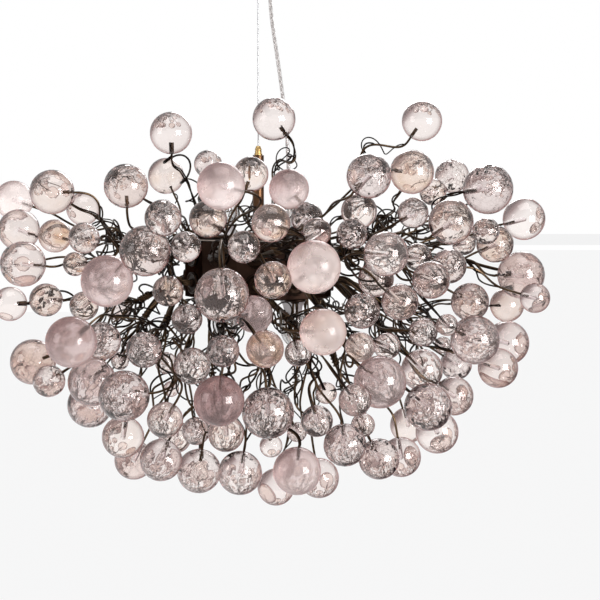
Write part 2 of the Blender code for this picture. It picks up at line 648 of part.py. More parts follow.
def ceiling_fitting(bronze, steel, brass, black):
    """Bracket with its hollow stud, canopy with nut and gland, and the terminal block beside the stud."""
    bracket = add_part("ceiling_bracket", block((BRACKET_LENGTH, BRACKET_WIDTH, BRACKET_THICKNESS),
                                                (0, 0, -BRACKET_THICKNESS / 2)), steel)
    stud_start = -BRACKET_THICKNESS / 2
    cut(bracket, "stud_guide", rod(STUD_RADIUS, -STUD_LENGTH, stud_start), operation="UNION")
    bore = rod(CABLE_RADIUS + BORE_CLEARANCE, -STUD_LENGTH - BRACKET_THICKNESS, -STUD_LENGTH + STUD_BORE_DEPTH,
               SMALL_ROUND_SIDES)
    cut(bracket, "stud_bore_guide", bore)
    for number, side in enumerate((-1, 1), 1):
        hole = rod(BRACKET_HOLE_RADIUS, -BRACKET_THICKNESS * 2, BRACKET_THICKNESS, SMALL_ROUND_SIDES)
        cut(bracket, f"screw_hole_guide_{number}", hole,
            Matrix.Translation((side * BRACKET_HOLE_SPACING / 2, 0, 0)))
    under = -BRACKET_THICKNESS - SEAT_GAP
    add_part("terminal_block", block((TERMINAL_LENGTH, TERMINAL_WIDTH, TERMINAL_HEIGHT),
                                     (TERMINAL_OFFSET, 0, under - TERMINAL_HEIGHT / 2)), black)
    outer, inner = CANOPY_RADIUS, CANOPY_RADIUS - CANOPY_WALL
    floor, hole = -CANOPY_HEIGHT, STUD_RADIUS + THREAD_CLEARANCE
    edge = [(outer - CANOPY_EDGE_RADIUS * (1 - math.cos(a)), floor + CANOPY_EDGE_RADIUS * (1 - math.sin(a)))
            for a in (math.pi / 2, math.pi / 4, 0)]
    soft = CANOPY_EDGE_RADIUS - CANOPY_WALL
    bend = [(inner - soft * (1 - math.cos(a)), floor + CANOPY_WALL + soft * (1 - math.sin(a)))
            for a in (0, math.pi / 4, math.pi / 2)]
    profile = [(hole, floor), *edge, (outer, -SEAT_GAP), (inner, -SEAT_GAP), *bend, (hole, floor + CANOPY_WALL)]
    canopy = add_part("canopy_cup", turned(profile, CANOPY_SIDES, closed=True), bronze)
    gland_hole = rod(FLEX_RADIUS + BORE_CLEARANCE + GLAND_WALL + BORE_CLEARANCE, floor - CANOPY_WALL,
                     floor + CANOPY_WALL * 2, SMALL_ROUND_SIDES)
    cut(canopy, "gland_hole_guide", gland_hole, Matrix.Translation((FLEX_OFFSET, 0, 0)))
    nut_top = floor - SEAT_GAP
    nut_low = nut_top - CANOPY_NUT_HEIGHT
    nut = turned([(hole, nut_low), (CANOPY_NUT_RADIUS - CANOPY_NUT_CHAMFER, nut_low),
                  (CANOPY_NUT_RADIUS, nut_low + CANOPY_NUT_CHAMFER), (CANOPY_NUT_RADIUS, nut_top),
                  (hole, nut_top)], ROUND_SIDES, closed=True)
    add_part("canopy_nut", nut, brass)
    add_part("canopy_gland", gland(floor, CANOPY_WALL), black, place=Matrix.Translation((FLEX_OFFSET, 0, 0)))


def gland(floor, plate):
    """A push-in grommet: a lip under the plate, a stem through it and a shorter lip above it."""
    bore = FLEX_RADIUS + BORE_CLEARANCE
    stem, lip = bore + GLAND_WALL, bore + GLAND_WALL + GLAND_LIP
    return turned([(bore, floor - SEAT_GAP - GLAND_LIP), (stem, floor - SEAT_GAP - GLAND_LIP),
                   (lip - GLAND_LIP / 2, floor - SEAT_GAP), (stem, floor - SEAT_GAP),
                   (stem, floor + plate + GLAND_STEM), (bore, floor + plate + GLAND_STEM)],
                  SMALL_ROUND_SIDES, closed=True)


# The flex's own route, chosen by eye: metres across, towards the back, and down from the ceiling
FLEX_POINTS = (
    (0.0130, 0.0000, -0.0142), (0.0130, 0.0000, -0.0300), (0.0130, 0.0000, -0.0500), (0.0132, -0.0002, -0.0700),
    (0.0148, -0.0008, -0.0900), (0.0176, -0.0017, -0.1100), (0.0206, -0.0026, -0.1300), (0.0235, -0.0036, -0.1500),
    (0.0262, -0.0046, -0.1700), (0.0286, -0.0056, -0.1900), (0.0304, -0.0064, -0.2100), (0.0317, -0.0070, -0.2300),
    (0.0325, -0.0075, -0.2500), (0.0329, -0.0079, -0.2700), (0.0330, -0.0080, -0.2900), (0.0330, -0.0080, -0.3180),
)


def smooth_line(points, spacing):
    """A Catmull-Rom curve through the points, read at an even spacing."""
    line = [2 * Vector(points[0]) - Vector(points[1]), *(Vector(p) for p in points),
            2 * Vector(points[-1]) - Vector(points[-2])]
    dense = []
    for a, b, c, d in zip(line, line[1:], line[2:], line[3:]):
        for k in range(8):
            t = k / 8
            dense.append(((2 * b) + (c - a) * t + (2 * a - 5 * b + 4 * c - d) * t ** 2
                          + (3 * b - a - 3 * c + d) * t ** 3) / 2)
    dense.append(Vector(points[-1]))
    lengths = np.concatenate([[0], np.cumsum([(b - a).length for a, b in zip(dense, dense[1:])])])
    count = max(2, round(lengths[-1] / spacing) + 1)
    at = np.linspace(0, lengths[-1], count)
    return [tuple(np.interp(at_one, lengths, [p[axis] for p in dense]) for axis in range(3)) for at_one in at]


def cord(name, points, radius, resolution, material):
    curve = bpy.data.curves.new(name, "CURVE")
    curve.dimensions = "3D"
    curve.bevel_depth = radius
    curve.bevel_resolution = resolution
    curve.use_fill_caps = True
    spline = curve.splines.new("POLY")
    spline.points.add(len(points) - 1)
    for point, place in zip(spline.points, points):
        point.co = (*place, 1)
    obj = bpy.data.objects.new(name, curve)
    obj.data.materials.append(material)
    bpy.context.scene.collection.objects.link(obj)
    return obj


def suspension(steel, clear):
    """The steel cable, taut between stud and gripper, and the clear flex beside it."""
    stem_top = HUB_Z + LID_TOP + STEM_ABOVE_LID
    top = -STUD_LENGTH + STUD_BORE_DEPTH - SEAT_GAP
    bottom = stem_top - GRIPPER_SPIGOT_LENGTH / 2
    spots = [(0, 0, top + (bottom - top) * k / 8) for k in range(9)]
    cord("suspension_cable", spots, CABLE_RADIUS, 2, steel)
    cord("power_flex", smooth_line(FLEX_POINTS, FLEX_RADIUS * 6), FLEX_RADIUS, 2, clear)


# Stem, hub and lamps

def hub(crown, bronze, brass, black):
    """Drum and lid, the stem through both, its nuts, the cable gripper on top and the connector inside."""
    drum = add_part("hub_drum", hub_prism(HUB_APOTHEM, HUB_FLOOR, HUB_TOP), bronze, crown, smooth_degrees=20)
    cut(drum, "drum_hollow_guide", hub_prism(HUB_APOTHEM - HUB_WALL, HUB_FLOOR + HUB_WALL, HUB_TOP + HUB_WALL))
    lid = add_part("hub_lid", hub_prism(HUB_APOTHEM, HUB_TOP + SEAT_GAP, LID_TOP), bronze, crown, smooth_degrees=20)
    stem_hole = rod(STEM_RADIUS + THREAD_CLEARANCE, -HUB_HEIGHT, HUB_HEIGHT)
    cut(drum, "drum_stem_hole_guide", stem_hole)
    cut(lid, "lid_stem_hole_guide", stem_hole)
    lamp_hole = rod(HOLDER_RADIUS + THREAD_CLEARANCE, -HUB_WALL * 3, HUB_WALL * 3, SMALL_ROUND_SIDES)
    for number, degrees in enumerate(UPPER_LAMP_DEGREES, 1):
        cut(lid, f"upper_lamp_hole_guide_{number}", lamp_hole,
            Matrix.Translation((*on_circle(LAMP_CIRCLE, degrees), LID_TOP)))
    for number, degrees in enumerate(LOWER_LAMP_DEGREES, 1):
        cut(drum, f"lower_lamp_hole_guide_{number}", lamp_hole,
            Matrix.Translation((*on_circle(LAMP_CIRCLE, degrees), HUB_FLOOR)))
    gland_hole = rod(FLEX_RADIUS + BORE_CLEARANCE + GLAND_WALL + BORE_CLEARANCE, -HUB_WALL * 3, HUB_WALL * 3,
                     SMALL_ROUND_SIDES)
    cut(lid, "flex_hole_guide", gland_hole, Matrix.Translation((*FLEX_ENTRY, LID_TOP)))
    flip = Matrix.Translation((*FLEX_ENTRY, 0)) @ Matrix.Diagonal((1, -1, -1, 1))
    add_part("hub_gland", gland(-LID_TOP, LID_THICKNESS), black, crown, flip)
    stem_top = LID_TOP + STEM_ABOVE_LID
    stem_low = HUB_FLOOR - STEM_BELOW_FLOOR
    add_part("stem_tube", tube(STEM_RADIUS, STEM_RADIUS - STEM_WALL, stem_low, stem_top), bronze, crown)
    bore = STEM_RADIUS + THREAD_CLEARANCE
    nut_low = LID_TOP + SEAT_GAP
    add_part("stem_nut", tube(STEM_NUT_RADIUS, bore, nut_low, nut_low + STEM_NUT_HEIGHT, 6 * 3), bronze, crown)
    cap_top = HUB_FLOOR - SEAT_GAP
    cap_low = cap_top - CAP_NUT_HEIGHT
    dome = [(0, cap_low), (CAP_NUT_RADIUS * 0.5, cap_low + CAP_NUT_ROOF * 0.25),
            (CAP_NUT_RADIUS * 0.86, cap_low + CAP_NUT_ROOF), (CAP_NUT_RADIUS, cap_low + CAP_NUT_ROOF * 2),
            (CAP_NUT_RADIUS, cap_top), (bore, cap_top), (bore, stem_low - SEAT_GAP), (0, stem_low - SEAT_GAP)]
    add_part("cap_nut", turned(dome), bronze, crown)
    cable_bore = CABLE_RADIUS + BORE_CLEARANCE
    low = stem_top - GRIPPER_SPIGOT_LENGTH
    seat = stem_top + SEAT_GAP
    gripper = [(cable_bore, low), (GRIPPER_SPIGOT_RADIUS, low), (GRIPPER_SPIGOT_RADIUS, seat),
               (GRIPPER_RADIUS + STEM_WALL / 2, seat), (GRIPPER_RADIUS, seat + STEM_WALL),
               (GRIPPER_RADIUS, seat + GRIPPER_HEIGHT * 0.6), (GRIPPER_NECK_RADIUS, seat + GRIPPER_HEIGHT),
               (cable_bore, seat + GRIPPER_HEIGHT)]
    add_part("cable_gripper", turned(gripper, SMALL_ROUND_SIDES, closed=True), brass, crown)
    centre = (*CONNECTOR_PLACE, HUB_FLOOR + HUB_WALL + SEAT_GAP + CONNECTOR_SIZE[2] / 2)
    add_part("wire_connector", block(CONNECTOR_SIZE, centre), black, crown)


def lamps(crown, bronze, lamp_white):
    """Two lamps stand on the lid and two hang under the floor, each a screw holder with its bulb."""
    bore = CAP_RADIUS + THREAD_CLEARANCE + BORE_CLEARANCE
    flange = SEAT_GAP + HOLDER_FLANGE
    low = -HOLDER_DEPTH
    cap_low = flange + SEAT_GAP - CAP_LENGTH
    floor = cap_low - CAP_FLOOR_GAP
    holder = [(0, low), (HOLDER_RADIUS, low), (HOLDER_RADIUS, SEAT_GAP), (HOLDER_FLANGE_RADIUS, SEAT_GAP),
              (HOLDER_FLANGE_RADIUS, flange), (bore, flange), (bore, floor), (0, floor)]
    sink = flange + SEAT_GAP
    glass = sink + SINK_LENGTH
    bulb = [(0, cap_low), (CAP_TIP_RADIUS, cap_low), (CAP_RADIUS, cap_low + CAP_TIP_RADIUS), (CAP_RADIUS, sink),
            (SINK_NECK_RADIUS, sink), (SINK_RADIUS, glass), (BULB_RADIUS, glass + BULB_LENGTH * 0.25),
            (BULB_RADIUS * 0.82, glass + BULB_LENGTH * 0.6), (BULB_TIP_RADIUS, glass + BULB_LENGTH * 0.92),
            (0, glass + BULB_LENGTH)]
    stands = [("upper", degrees, LID_TOP, Matrix()) for degrees in UPPER_LAMP_DEGREES]
    stands += [("lower", degrees, HUB_FLOOR, Matrix.Rotation(math.pi, 4, "X")) for degrees in LOWER_LAMP_DEGREES]
    for number, (row, degrees, height, turn) in enumerate(stands):
        place = Matrix.Translation((*on_circle(LAMP_CIRCLE, degrees), height)) @ turn
        side = f"{row}_{number % 2 + 1}"
        add_part(f"lampholder_{side}", turned(holder, SMALL_ROUND_SIDES), bronze, crown, place)
        add_part(f"bulb_{side}", turned(bulb, SMALL_ROUND_SIDES), lamp_white, crown, place)


def build():
    clear_scene()
    bronze = finish("dark_bronze", (0.055, 0.035, 0.024), 0.42, 1.0)
    brass = finish("brass", (0.62, 0.42, 0.15), 0.3, 1.0)
    steel = finish("steel", (0.55, 0.54, 0.52), 0.35, 1.0)
    black = finish("black_plastic", (0.03, 0.03, 0.032), 0.5)
    clear = finish("clear_sleeve", (0.78, 0.72, 0.74), 0.2, 0.0, 0.6)
    resin = finish("clear_resin", (0.76, 0.66, 0.67), 0.08, 0.0, 0.45)
    lamp_white = finish("lamp_white", (0.80, 0.78, 0.77), 0.3)
    ceiling_fitting(bronze, steel, brass, black)
    suspension(steel, clear)
    crown = add_empty("crown", HUB_Z)
    hub(crown, bronze, brass, black)
    lamps(crown, bronze, lamp_white)
    places, radii, stray = place_balls()
    sprays = share_out(places, stray)
    points, wires = route(places, radii, sprays)
    for number, (name, foot, normal, balls) in enumerate(sprays):
        own = [wire for wire in wires if wire[0] == number]
        stalk = points[own[0][2]]
        branches = [(points[chain[1:]], places[ball], radii[ball]) for _, ball, chain, _ in own[1:]]
        mesh = spray_mesh(foot, normal, stalk, branches)
        add_part(name, mesh, resin, crown, smooth_degrees=60)
    bpy.context.view_layer.update()


build()
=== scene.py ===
# Bubble chandelier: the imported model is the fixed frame, and every piece below is made over it
import math

import bpy
import numpy as np
from mathutils import Matrix, Vector


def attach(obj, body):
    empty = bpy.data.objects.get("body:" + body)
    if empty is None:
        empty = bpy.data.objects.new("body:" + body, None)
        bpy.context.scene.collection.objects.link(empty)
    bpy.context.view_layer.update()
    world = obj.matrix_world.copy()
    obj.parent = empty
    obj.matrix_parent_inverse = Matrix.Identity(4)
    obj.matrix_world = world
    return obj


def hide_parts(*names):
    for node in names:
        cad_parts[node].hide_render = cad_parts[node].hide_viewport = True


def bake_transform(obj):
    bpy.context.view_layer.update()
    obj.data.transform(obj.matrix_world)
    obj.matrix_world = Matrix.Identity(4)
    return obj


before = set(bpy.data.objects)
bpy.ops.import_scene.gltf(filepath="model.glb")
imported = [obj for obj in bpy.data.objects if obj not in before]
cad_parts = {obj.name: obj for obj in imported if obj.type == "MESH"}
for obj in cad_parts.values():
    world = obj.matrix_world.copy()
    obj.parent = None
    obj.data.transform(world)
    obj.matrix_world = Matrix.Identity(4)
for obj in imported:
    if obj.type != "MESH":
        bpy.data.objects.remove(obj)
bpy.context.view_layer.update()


# The photographer's place: a little above the crown's middle and 1.6 m away, so that one pixel is 1.08 mm there.
# The picture is 600 pixels wide, and the stem is a little left of the crown's middle.
MM = 0.001
PIXEL = 1.08 * MM
PICTURE_PX = 600.0
CROWN_MIDDLE_PX = (268.0, 240.0)
STEM_PX = 258.5
EYE_DISTANCE_PX = 1481.5
EYE_DISTANCE = EYE_DISTANCE_PX * PIXEL
EYE_RISE = math.radians(5)
CROWN_DROP = 325 * MM
HUB_BELOW_CROWN = 29 * MM
HUB_Z = -CROWN_DROP - HUB_BELOW_CROWN
SIGHT_RIGHT = np.array([1.0, 0.0, 0.0])
SIGHT_FORWARD = np.array([0.0, math.cos(EYE_RISE), -math.sin(EYE_RISE)])
SIGHT_UP = np.array([0.0, math.sin(EYE_RISE), math.cos(EYE_RISE)])
CROWN_MIDDLE = np.array([(CROWN_MIDDLE_PX[0] - STEM_PX) * PIXEL, 0.0, HUB_BELOW_CROWN])
EYE = (CROWN_MIDDLE - EYE_DISTANCE * SIGHT_FORWARD - SIGHT_RIGHT * (CROWN_MIDDLE_PX[0] - PICTURE_PX / 2) * PIXEL
       - SIGHT_UP * (PICTURE_PX / 2 - CROWN_MIDDLE_PX[1]) * PIXEL)

camera = bpy.data.objects.new("camera", bpy.data.cameras.new("camera"))
camera.data.sensor_width = 36
camera.data.lens = EYE_DISTANCE_PX * camera.data.sensor_width / PICTURE_PX
camera.data.clip_end = 400
camera_axes = np.stack([SIGHT_RIGHT, SIGHT_UP, -SIGHT_FORWARD, EYE + (0, 0, HUB_Z)], 1)
camera.matrix_world = Matrix([*camera_axes.tolist(), (0, 0, 0, 1)])
bpy.context.scene.collection.objects.link(camera)
bpy.context.scene.camera = camera
bpy.context.scene.view_settings.view_transform = "Standard"

# The room is a white wall without end and a pale floor far below the lamp, whose far edge steps down on the
# left, with soft studio lamps: a square softbox at the right, wide ones overhead, at the left and behind. The
# glass and metal also show the room's darker side, at the right and low down.
FLOOR_DROP = 8.0
DARK_SIDE = (0.74, 0.26, -0.62)


def emptied(tree):
    """A short way to add a node to a tree, which is emptied first. Keywords are the node's settings and sockets,
    and the dictionary holds sockets by name or number. Another node's output is linked to the socket."""
    tree.nodes.clear()

    def add(kind, sockets=None, **values):
        node = tree.nodes.new("ShaderNode" + kind)
        for key, value in [*values.items(), *(sockets or {}).items()]:
            if isinstance(key, str) and key not in node.inputs:
                setattr(node, key, value)
            elif isinstance(value, bpy.types.NodeSocket):
                tree.links.new(value, node.inputs[key])
            else:
                node.inputs[key].default_value = value
        return node

    return add


def start_material(name):
    material = bpy.data.materials.new(name)
    material.use_nodes = True
    return material, emptied(material.node_tree)


def mixed(add, share, low, high, **settings):
    """The colour that goes from low to high with share. Each is a plain colour or another node's output."""
    low, high = ((*tone, 1) if isinstance(tone, tuple) else tone for tone in (low, high))
    return add("Mix", {0: share, 6: low, 7: high}, data_type="RGBA", **settings).outputs[2]


def product(add, one, two, **settings):
    return add("Math", {0: one, 1: two}, operation="MULTIPLY", **settings).outputs[0]


def mapped(add, value, start, end, low=0.0, high=1.0):
    """The value on a new scale, where start becomes low and end becomes high, and clamped to it."""
    sockets = {"Value": value, "From Min": start, "From Max": end, "To Min": low, "To Max": high}
    return add("MapRange", sockets).outputs[0]


def blended(add, share, one, two):
    return add("MixShader", {0: share, 1: one.outputs[0], 2: two.outputs[0]})


def room_tone(add, direction):
    """The tone of the pale room in a direction from the lamp: it gets darker towards the right and the floor
    there, which the glass shows at its left and upper edges."""
    length = add("VectorMath", {0: direction}, operation="NORMALIZE")
    side = add("VectorMath", {0: length.outputs["Vector"], 1: DARK_SIDE}, operation="DOT_PRODUCT")
    tone = add("ValToRGB", {0: side.outputs["Value"]})
    pale, dark = tone.color_ramp.elements
    pale.color = (1, 1, 1, 1)
    dark.color = (0.10, 0.055, 0.06, 1)
    for position, grey in ((0.44, 1.0), (0.64, 0.85), (0.79, 0.37), (0.90, 0.15)):
        stop = tone.color_ramp.elements.new(position)
        stop.color = (grey, grey ** 1.27, grey ** 1.27, 1)
    return tone.outputs[0]


def seen_ray(add, path):
    """1 for what the lens, mirrors and glass see, and 0 for the light that falls on things."""
    seen = path.outputs["Is Camera Ray"]
    for ray in ("Is Glossy Ray", "Is Transmission Ray"):
        seen = add("Math", {0: seen, 1: path.outputs[ray]}, operation="MAXIMUM").outputs[0]
    return seen


def floor_paint(name, tone):
    """Matt pale grey with the lamp's soft shadow in it. The lens sees it at one even tone, and glass and metal
    see it darker on the room's dark side."""
    material, add = start_material(name)
    place = add("TexCoord")
    from_lamp = add("VectorMath", {0: place.outputs["Object"], 1: (0.0, 0.0, HUB_Z)}, operation="SUBTRACT")
    path = add("LightPath")
    bright = mixed(add, path.outputs["Is Camera Ray"], room_tone(add, from_lamp.outputs["Vector"]), (1, 1, 1))
    even = add("Emission", Strength=1.0, Color=mixed(add, 1.0, bright, (tone, tone, tone), blend_type="MULTIPLY"))
    diffuse = add("BsdfDiffuse", Color=(0.9, 0.9, 0.9, 1))
    mix = blended(add, product(add, seen_ray(add, path), 0.92), diffuse, even)
    add("OutputMaterial", Surface=mix.outputs[0])
    return material


# The floor's far edge is nearer on the left than on the right; behind a gap follows a grey strip. Distances from
# the eye are in heights of the eye above the floor.
FLOOR_SIDE = 18.6
FLOOR_STEP = 0.677
eye_height = EYE[2] + HUB_Z + FLOOR_DROP
for name, tone, corners in (
        ("floor", 0.951, [(-FLOOR_SIDE, -13.2), (FLOOR_SIDE, -13.2), (FLOOR_SIDE, 18.65), (FLOOR_STEP, 18.65),
                          (FLOOR_STEP, 10.465), (-FLOOR_SIDE, 10.465)]),
        ("floor_strip", 0.914, [(FLOOR_STEP, 19.91), (FLOOR_SIDE, 19.91), (FLOOR_SIDE, 23.40),
                                (FLOOR_STEP, 23.40)])):
    sheet = bpy.data.meshes.new(name)
    sheet.from_pydata([(EYE[0] + x * eye_height, EYE[1] + y * eye_height, -FLOOR_DROP) for x, y in corners], [],
                      [tuple(range(len(corners)))])
    floor = bpy.data.objects.new(name, sheet)
    floor.data.materials.append(floor_paint(name, tone))
    bpy.context.scene.collection.objects.link(floor)

world = bpy.data.worlds.new("studio")
bpy.context.scene.world = world
world.use_nodes = True
add = emptied(world.node_tree)
sky_path = add("LightPath")
sky_dim = mapped(add, sky_path.outputs["Is Reflection Ray"], 0.0, 1.0, 1.0, 0.6)
sky_room = add("Background", Strength=sky_dim, Color=room_tone(add, add("TexCoord").outputs["Generated"]))
sky_white = add("Background", Color=(1, 1, 1, 1))
sky_light = add("Background", Color=(0.97, 0.97, 1.0, 1), Strength=0.74)
sky_look = blended(add, sky_path.outputs["Is Camera Ray"], sky_room, sky_white)
add("OutputWorld", Surface=blended(add, seen_ray(add, sky_path), sky_light, sky_look).outputs[0])

# Each softbox shines at the hub, and the lens and the glass don't see it
for name, place, width, height, power in (
        ("softbox_right", (1.02, -1.10, -0.22), 0.72, 0.72, 27), ("softbox_top", (0.1, -0.5, 1.5), 1.7, 1.4, 17),
        ("softbox_left", (-1.6, -0.9, 0.1), 0.9, 1.0, 8), ("softbox_back", (0.3, 1.7, 0.5), 1.0, 0.8, 12)):
    light = bpy.data.lights.new(name, "AREA")
    light.shape = "RECTANGLE"
    light.size = width
    light.size_y = height
    light.energy = power
    lamp = bpy.data.objects.new(name, light)
    lamp.location = place
    lamp.rotation_euler = (Vector((0, 0, HUB_Z)) - Vector(place)).to_track_quat("-Z", "Y").to_euler()
    lamp.visible_camera = False
    lamp.visible_transmission = False
    bpy.context.scene.collection.objects.link(lamp)


# The suspension cable is plain twisted steel wire rope, 1.5 mm thick. It is taut between the hollow stud of
# the ceiling bracket and the brass gripper on top of the stem, and both ends are clamped out of sight.
CABLE_RADIUS = 0.75 * MM
CABLE_LAY = 9 * MM
CABLE_TOP = -14.3 * MM
# Heights on the crown are in millimetres from the drum's middle. A part's seat is 0.3 mm off what it rests on.
FLOOR_LOW = -30.0
FLOOR_SEAT = -30.3
LID_TOP = 32.3
LID_SEAT = 32.6
STEM_TOP = 120.3
STEM_SEAT = 120.6
CABLE_BOTTOM = HUB_Z + (STEM_TOP - 4) * MM


def noisy(add, scale, low, high, detail=3.0):
    """A noise on Object coordinates, spread to run between low and high."""
    place = add("TexCoord")
    noise = add("TexNoise", Scale=scale, Detail=detail, Roughness=0.6, Vector=place.outputs["Object"])
    return mapped(add, noise.outputs[0], 0.25, 0.75, low, high)


def worn_metal(name, dark, light, rough_low, rough_high, scale, metallic=1.0, edge=(1, 1, 1)):
    """Metal with cloudy tone, cloudy gloss and a fine grain; edge is its tone where it is seen at a slant."""
    material, add = start_material(name)
    tone = mixed(add, noisy(add, scale, 0.0, 1.0), dark, light)
    gloss = noisy(add, scale * 2.3, rough_low, rough_high)
    grain = add("Bump", Strength=0.15, Distance=0.0003, Height=noisy(add, scale * 14, 0.0, 1.0, 4.0))
    shader = add("BsdfPrincipled", {"Specular Tint": (*edge, 1), "Base Color": tone}, Metallic=metallic,
                 Roughness=gloss, Normal=grain.outputs[0])
    add("OutputMaterial", Surface=shader.outputs[0])
    return material


def carry(paths, radii, sides, stretch=None):
    """A round profile carried along many paths at once. At each path point a ring is laid square to the path,
    in a frame that follows the bends without twisting. paths is (wires, points, 3) and radii fits
    (wires, points); stretch(angle, point number) scales the ring's radius."""
    travel = np.gradient(paths, axis=1)
    travel /= np.maximum(np.linalg.norm(travel, axis=2, keepdims=True), 1e-12)
    least = np.eye(3)[np.argmin(np.abs(travel[:, 0]), axis=1)]
    side = np.cross(travel[:, 0], least)
    frames = []
    for step in range(paths.shape[1]):
        side = side - travel[:, step] * (side * travel[:, step]).sum(1, keepdims=True)
        side = side / np.linalg.norm(side, axis=1, keepdims=True)
        frames.append(side)
    side = np.stack(frames, 1)
    across = np.cross(travel, side)
    angle = math.tau * np.arange(sides) / sides
    reach = np.broadcast_to(radii, paths.shape[:2])[..., None]
    if stretch is not None:
        reach = reach * stretch(angle[None], np.arange(paths.shape[1])[:, None])[None]
    ring = np.cos(angle)[:, None] * side[:, :, None] + np.sin(angle)[:, None] * across[:, :, None]
    return paths[:, :, None] + reach[..., None] * ring


def ring_faces(rings, sides, closed=False):
    """Quads between following rings of one tube, and a flat cap over each open end."""
    ring = np.arange(rings - (not closed))[:, None] * sides
    next_ring = (ring + sides) % (rings * sides)
    corner = np.arange(sides)[None]
    next_corner = (corner + 1) % sides
    quads = np.stack([ring + corner, ring + next_corner, next_ring + next_corner, next_ring + corner], -1)
    quads = quads.reshape(-1, 4)
    caps = [] if closed else [np.arange(sides)[::-1], (rings - 1) * sides + np.arange(sides)]
    return quads, caps


def piece(name, blocks, body, finishes, nodes=(), sharp=None, attributes=None):
    """One object from several blocks of (vertices, list of face arrays, material number)."""
    vertices, sizes, loops, numbers, first = [], [], [], [], 0
    for points, faces, number in blocks:
        points = np.asarray(points, float).reshape(-1, 3)
        vertices.append(points)
        for face in faces:
            face = np.atleast_2d(np.asarray(face)) + first
            sizes.append(np.full(len(face), face.shape[1]))
            loops.append(face.ravel())
            numbers.append(np.full(len(face), number))
        first += len(points)
    vertices, sizes, loops = np.concatenate(vertices), np.concatenate(sizes), np.concatenate(loops)
    mesh = bpy.data.meshes.new(name)
    mesh.vertices.add(len(vertices))
    mesh.vertices.foreach_set("co", vertices.astype(np.float32).ravel())
    mesh.loops.add(len(loops))
    mesh.loops.foreach_set("vertex_index", loops.astype(np.int32))
    mesh.polygons.add(len(sizes))
    mesh.polygons.foreach_set("loop_start", np.concatenate([[0], np.cumsum(sizes)[:-1]]).astype(np.int32))
    mesh.polygons.foreach_set("material_index", np.concatenate(numbers).astype(np.int32))
    mesh.update(calc_edges=True)
    mesh.validate()
    mesh.shade_smooth()
    if sharp is not None:
        mesh.set_sharp_from_angle(angle=math.radians(sharp))
    for key, values in (attributes or {}).items():
        layer = mesh.attributes.new(key, "FLOAT", "POINT")
        layer.data.foreach_set("value", np.asarray(values, np.float32))
    obj = bpy.data.objects.new(name, mesh)
    for finish in finishes:
        mesh.materials.append(finish)
    bpy.context.scene.collection.objects.link(obj)
    if body is not None:
        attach(obj, body)
    if nodes:
        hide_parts(*nodes)
    return obj


def tubes(paths, radii, sides, number=0, stretch=None):
    """Blocks for piece(): one tube for each path."""
    points = carry(paths, radii, sides, stretch)
    quads, caps = ring_faces(paths.shape[1], sides)
    count = np.arange(len(paths))[:, None, None] * paths.shape[1] * sides
    faces = [(quads[None] + count).reshape(-1, 4)]
    faces += [(np.asarray(cap)[None, None] + count).reshape(-1, sides) for cap in caps]
    return points, faces, number


steel_strand = worn_metal("steel_strand", (0.30, 0.30, 0.31), (0.52, 0.52, 0.53), 0.25, 0.4, 300)
cable_height = np.linspace(CABLE_TOP, CABLE_BOTTOM, 240)
cable_path = np.stack([cable_height * 0, cable_height * 0, cable_height], 1)


def strands_of_rope(angle, step):
    """The rope's radius round its section: six strands stand out, and they wind along it."""
    turn = step * (CABLE_TOP - CABLE_BOTTOM) / CABLE_LAY / len(cable_height) * math.tau
    return 1.04 - 0.16 * np.abs(np.sin(3 * (angle + turn)))


cable = piece("steel_cable", [tubes(cable_path[None], CABLE_RADIUS, 24, stretch=strands_of_rope)], "ceiling",
              [steel_strand], ["suspension_cable"])


# The flex hangs beside the cable: two tinned copper strands, twisted round each other, in a clear sleeve 4 mm
# thick. It leaves the canopy through a gland and goes into the drum's lid through another.
FLEX_POINTS = (
    (0.0130, 0.0000, -0.0142), (0.0130, 0.0000, -0.0300), (0.0130, 0.0000, -0.0500), (0.0132, -0.0002, -0.0700),
    (0.0148, -0.0008, -0.0900), (0.0176, -0.0017, -0.1100), (0.0206, -0.0026, -0.1300), (0.0235, -0.0036, -0.1500),
    (0.0262, -0.0046, -0.1700), (0.0286, -0.0056, -0.1900), (0.0304, -0.0064, -0.2100), (0.0317, -0.0070, -0.2300),
    (0.0325, -0.0075, -0.2500), (0.0329, -0.0079, -0.2700), (0.0330, -0.0080, -0.2900), (0.0330, -0.0080, -0.3180),
)
FLEX_RADIUS = 2.0 * MM


def curve_through(points, count):
    """Catmull-Rom curves through many rows of points at once, each read at count even steps of the parameter.
    points is (curves, points, 3)."""
    points = np.asarray(points, float)
    ends = (2 * points[:, :1] - points[:, 1:2], points, 2 * points[:, -1:] - points[:, -2:-1])
    line = np.concatenate(ends, 1)
    at = np.linspace(0, points.shape[1] - 1, count)
    leg = np.minimum(at.astype(int), points.shape[1] - 2)
    t = (at - leg)[None, :, None]
    a, b, c, d = (line[:, leg + k] for k in range(4))
    return (2 * b + (c - a) * t + (2 * a - 5 * b + 4 * c - d) * t ** 2 + (3 * b - a - 3 * c + d) * t ** 3) / 2


def run_of(paths):
    """Each path's length from its start to each of its points."""
    step = np.linalg.norm(np.diff(paths, axis=1), axis=2)
    return np.concatenate([np.zeros((len(paths), 1)), np.cumsum(step, 1)], 1)


def evened(paths, count):
    """The same curves, read at even steps of their own length."""
    rows = [np.stack([np.interp(np.linspace(0, along[-1], count), along, one[:, axis]) for axis in range(3)], 1)
            for along, one in zip(run_of(paths), paths)]
    return np.array(rows)


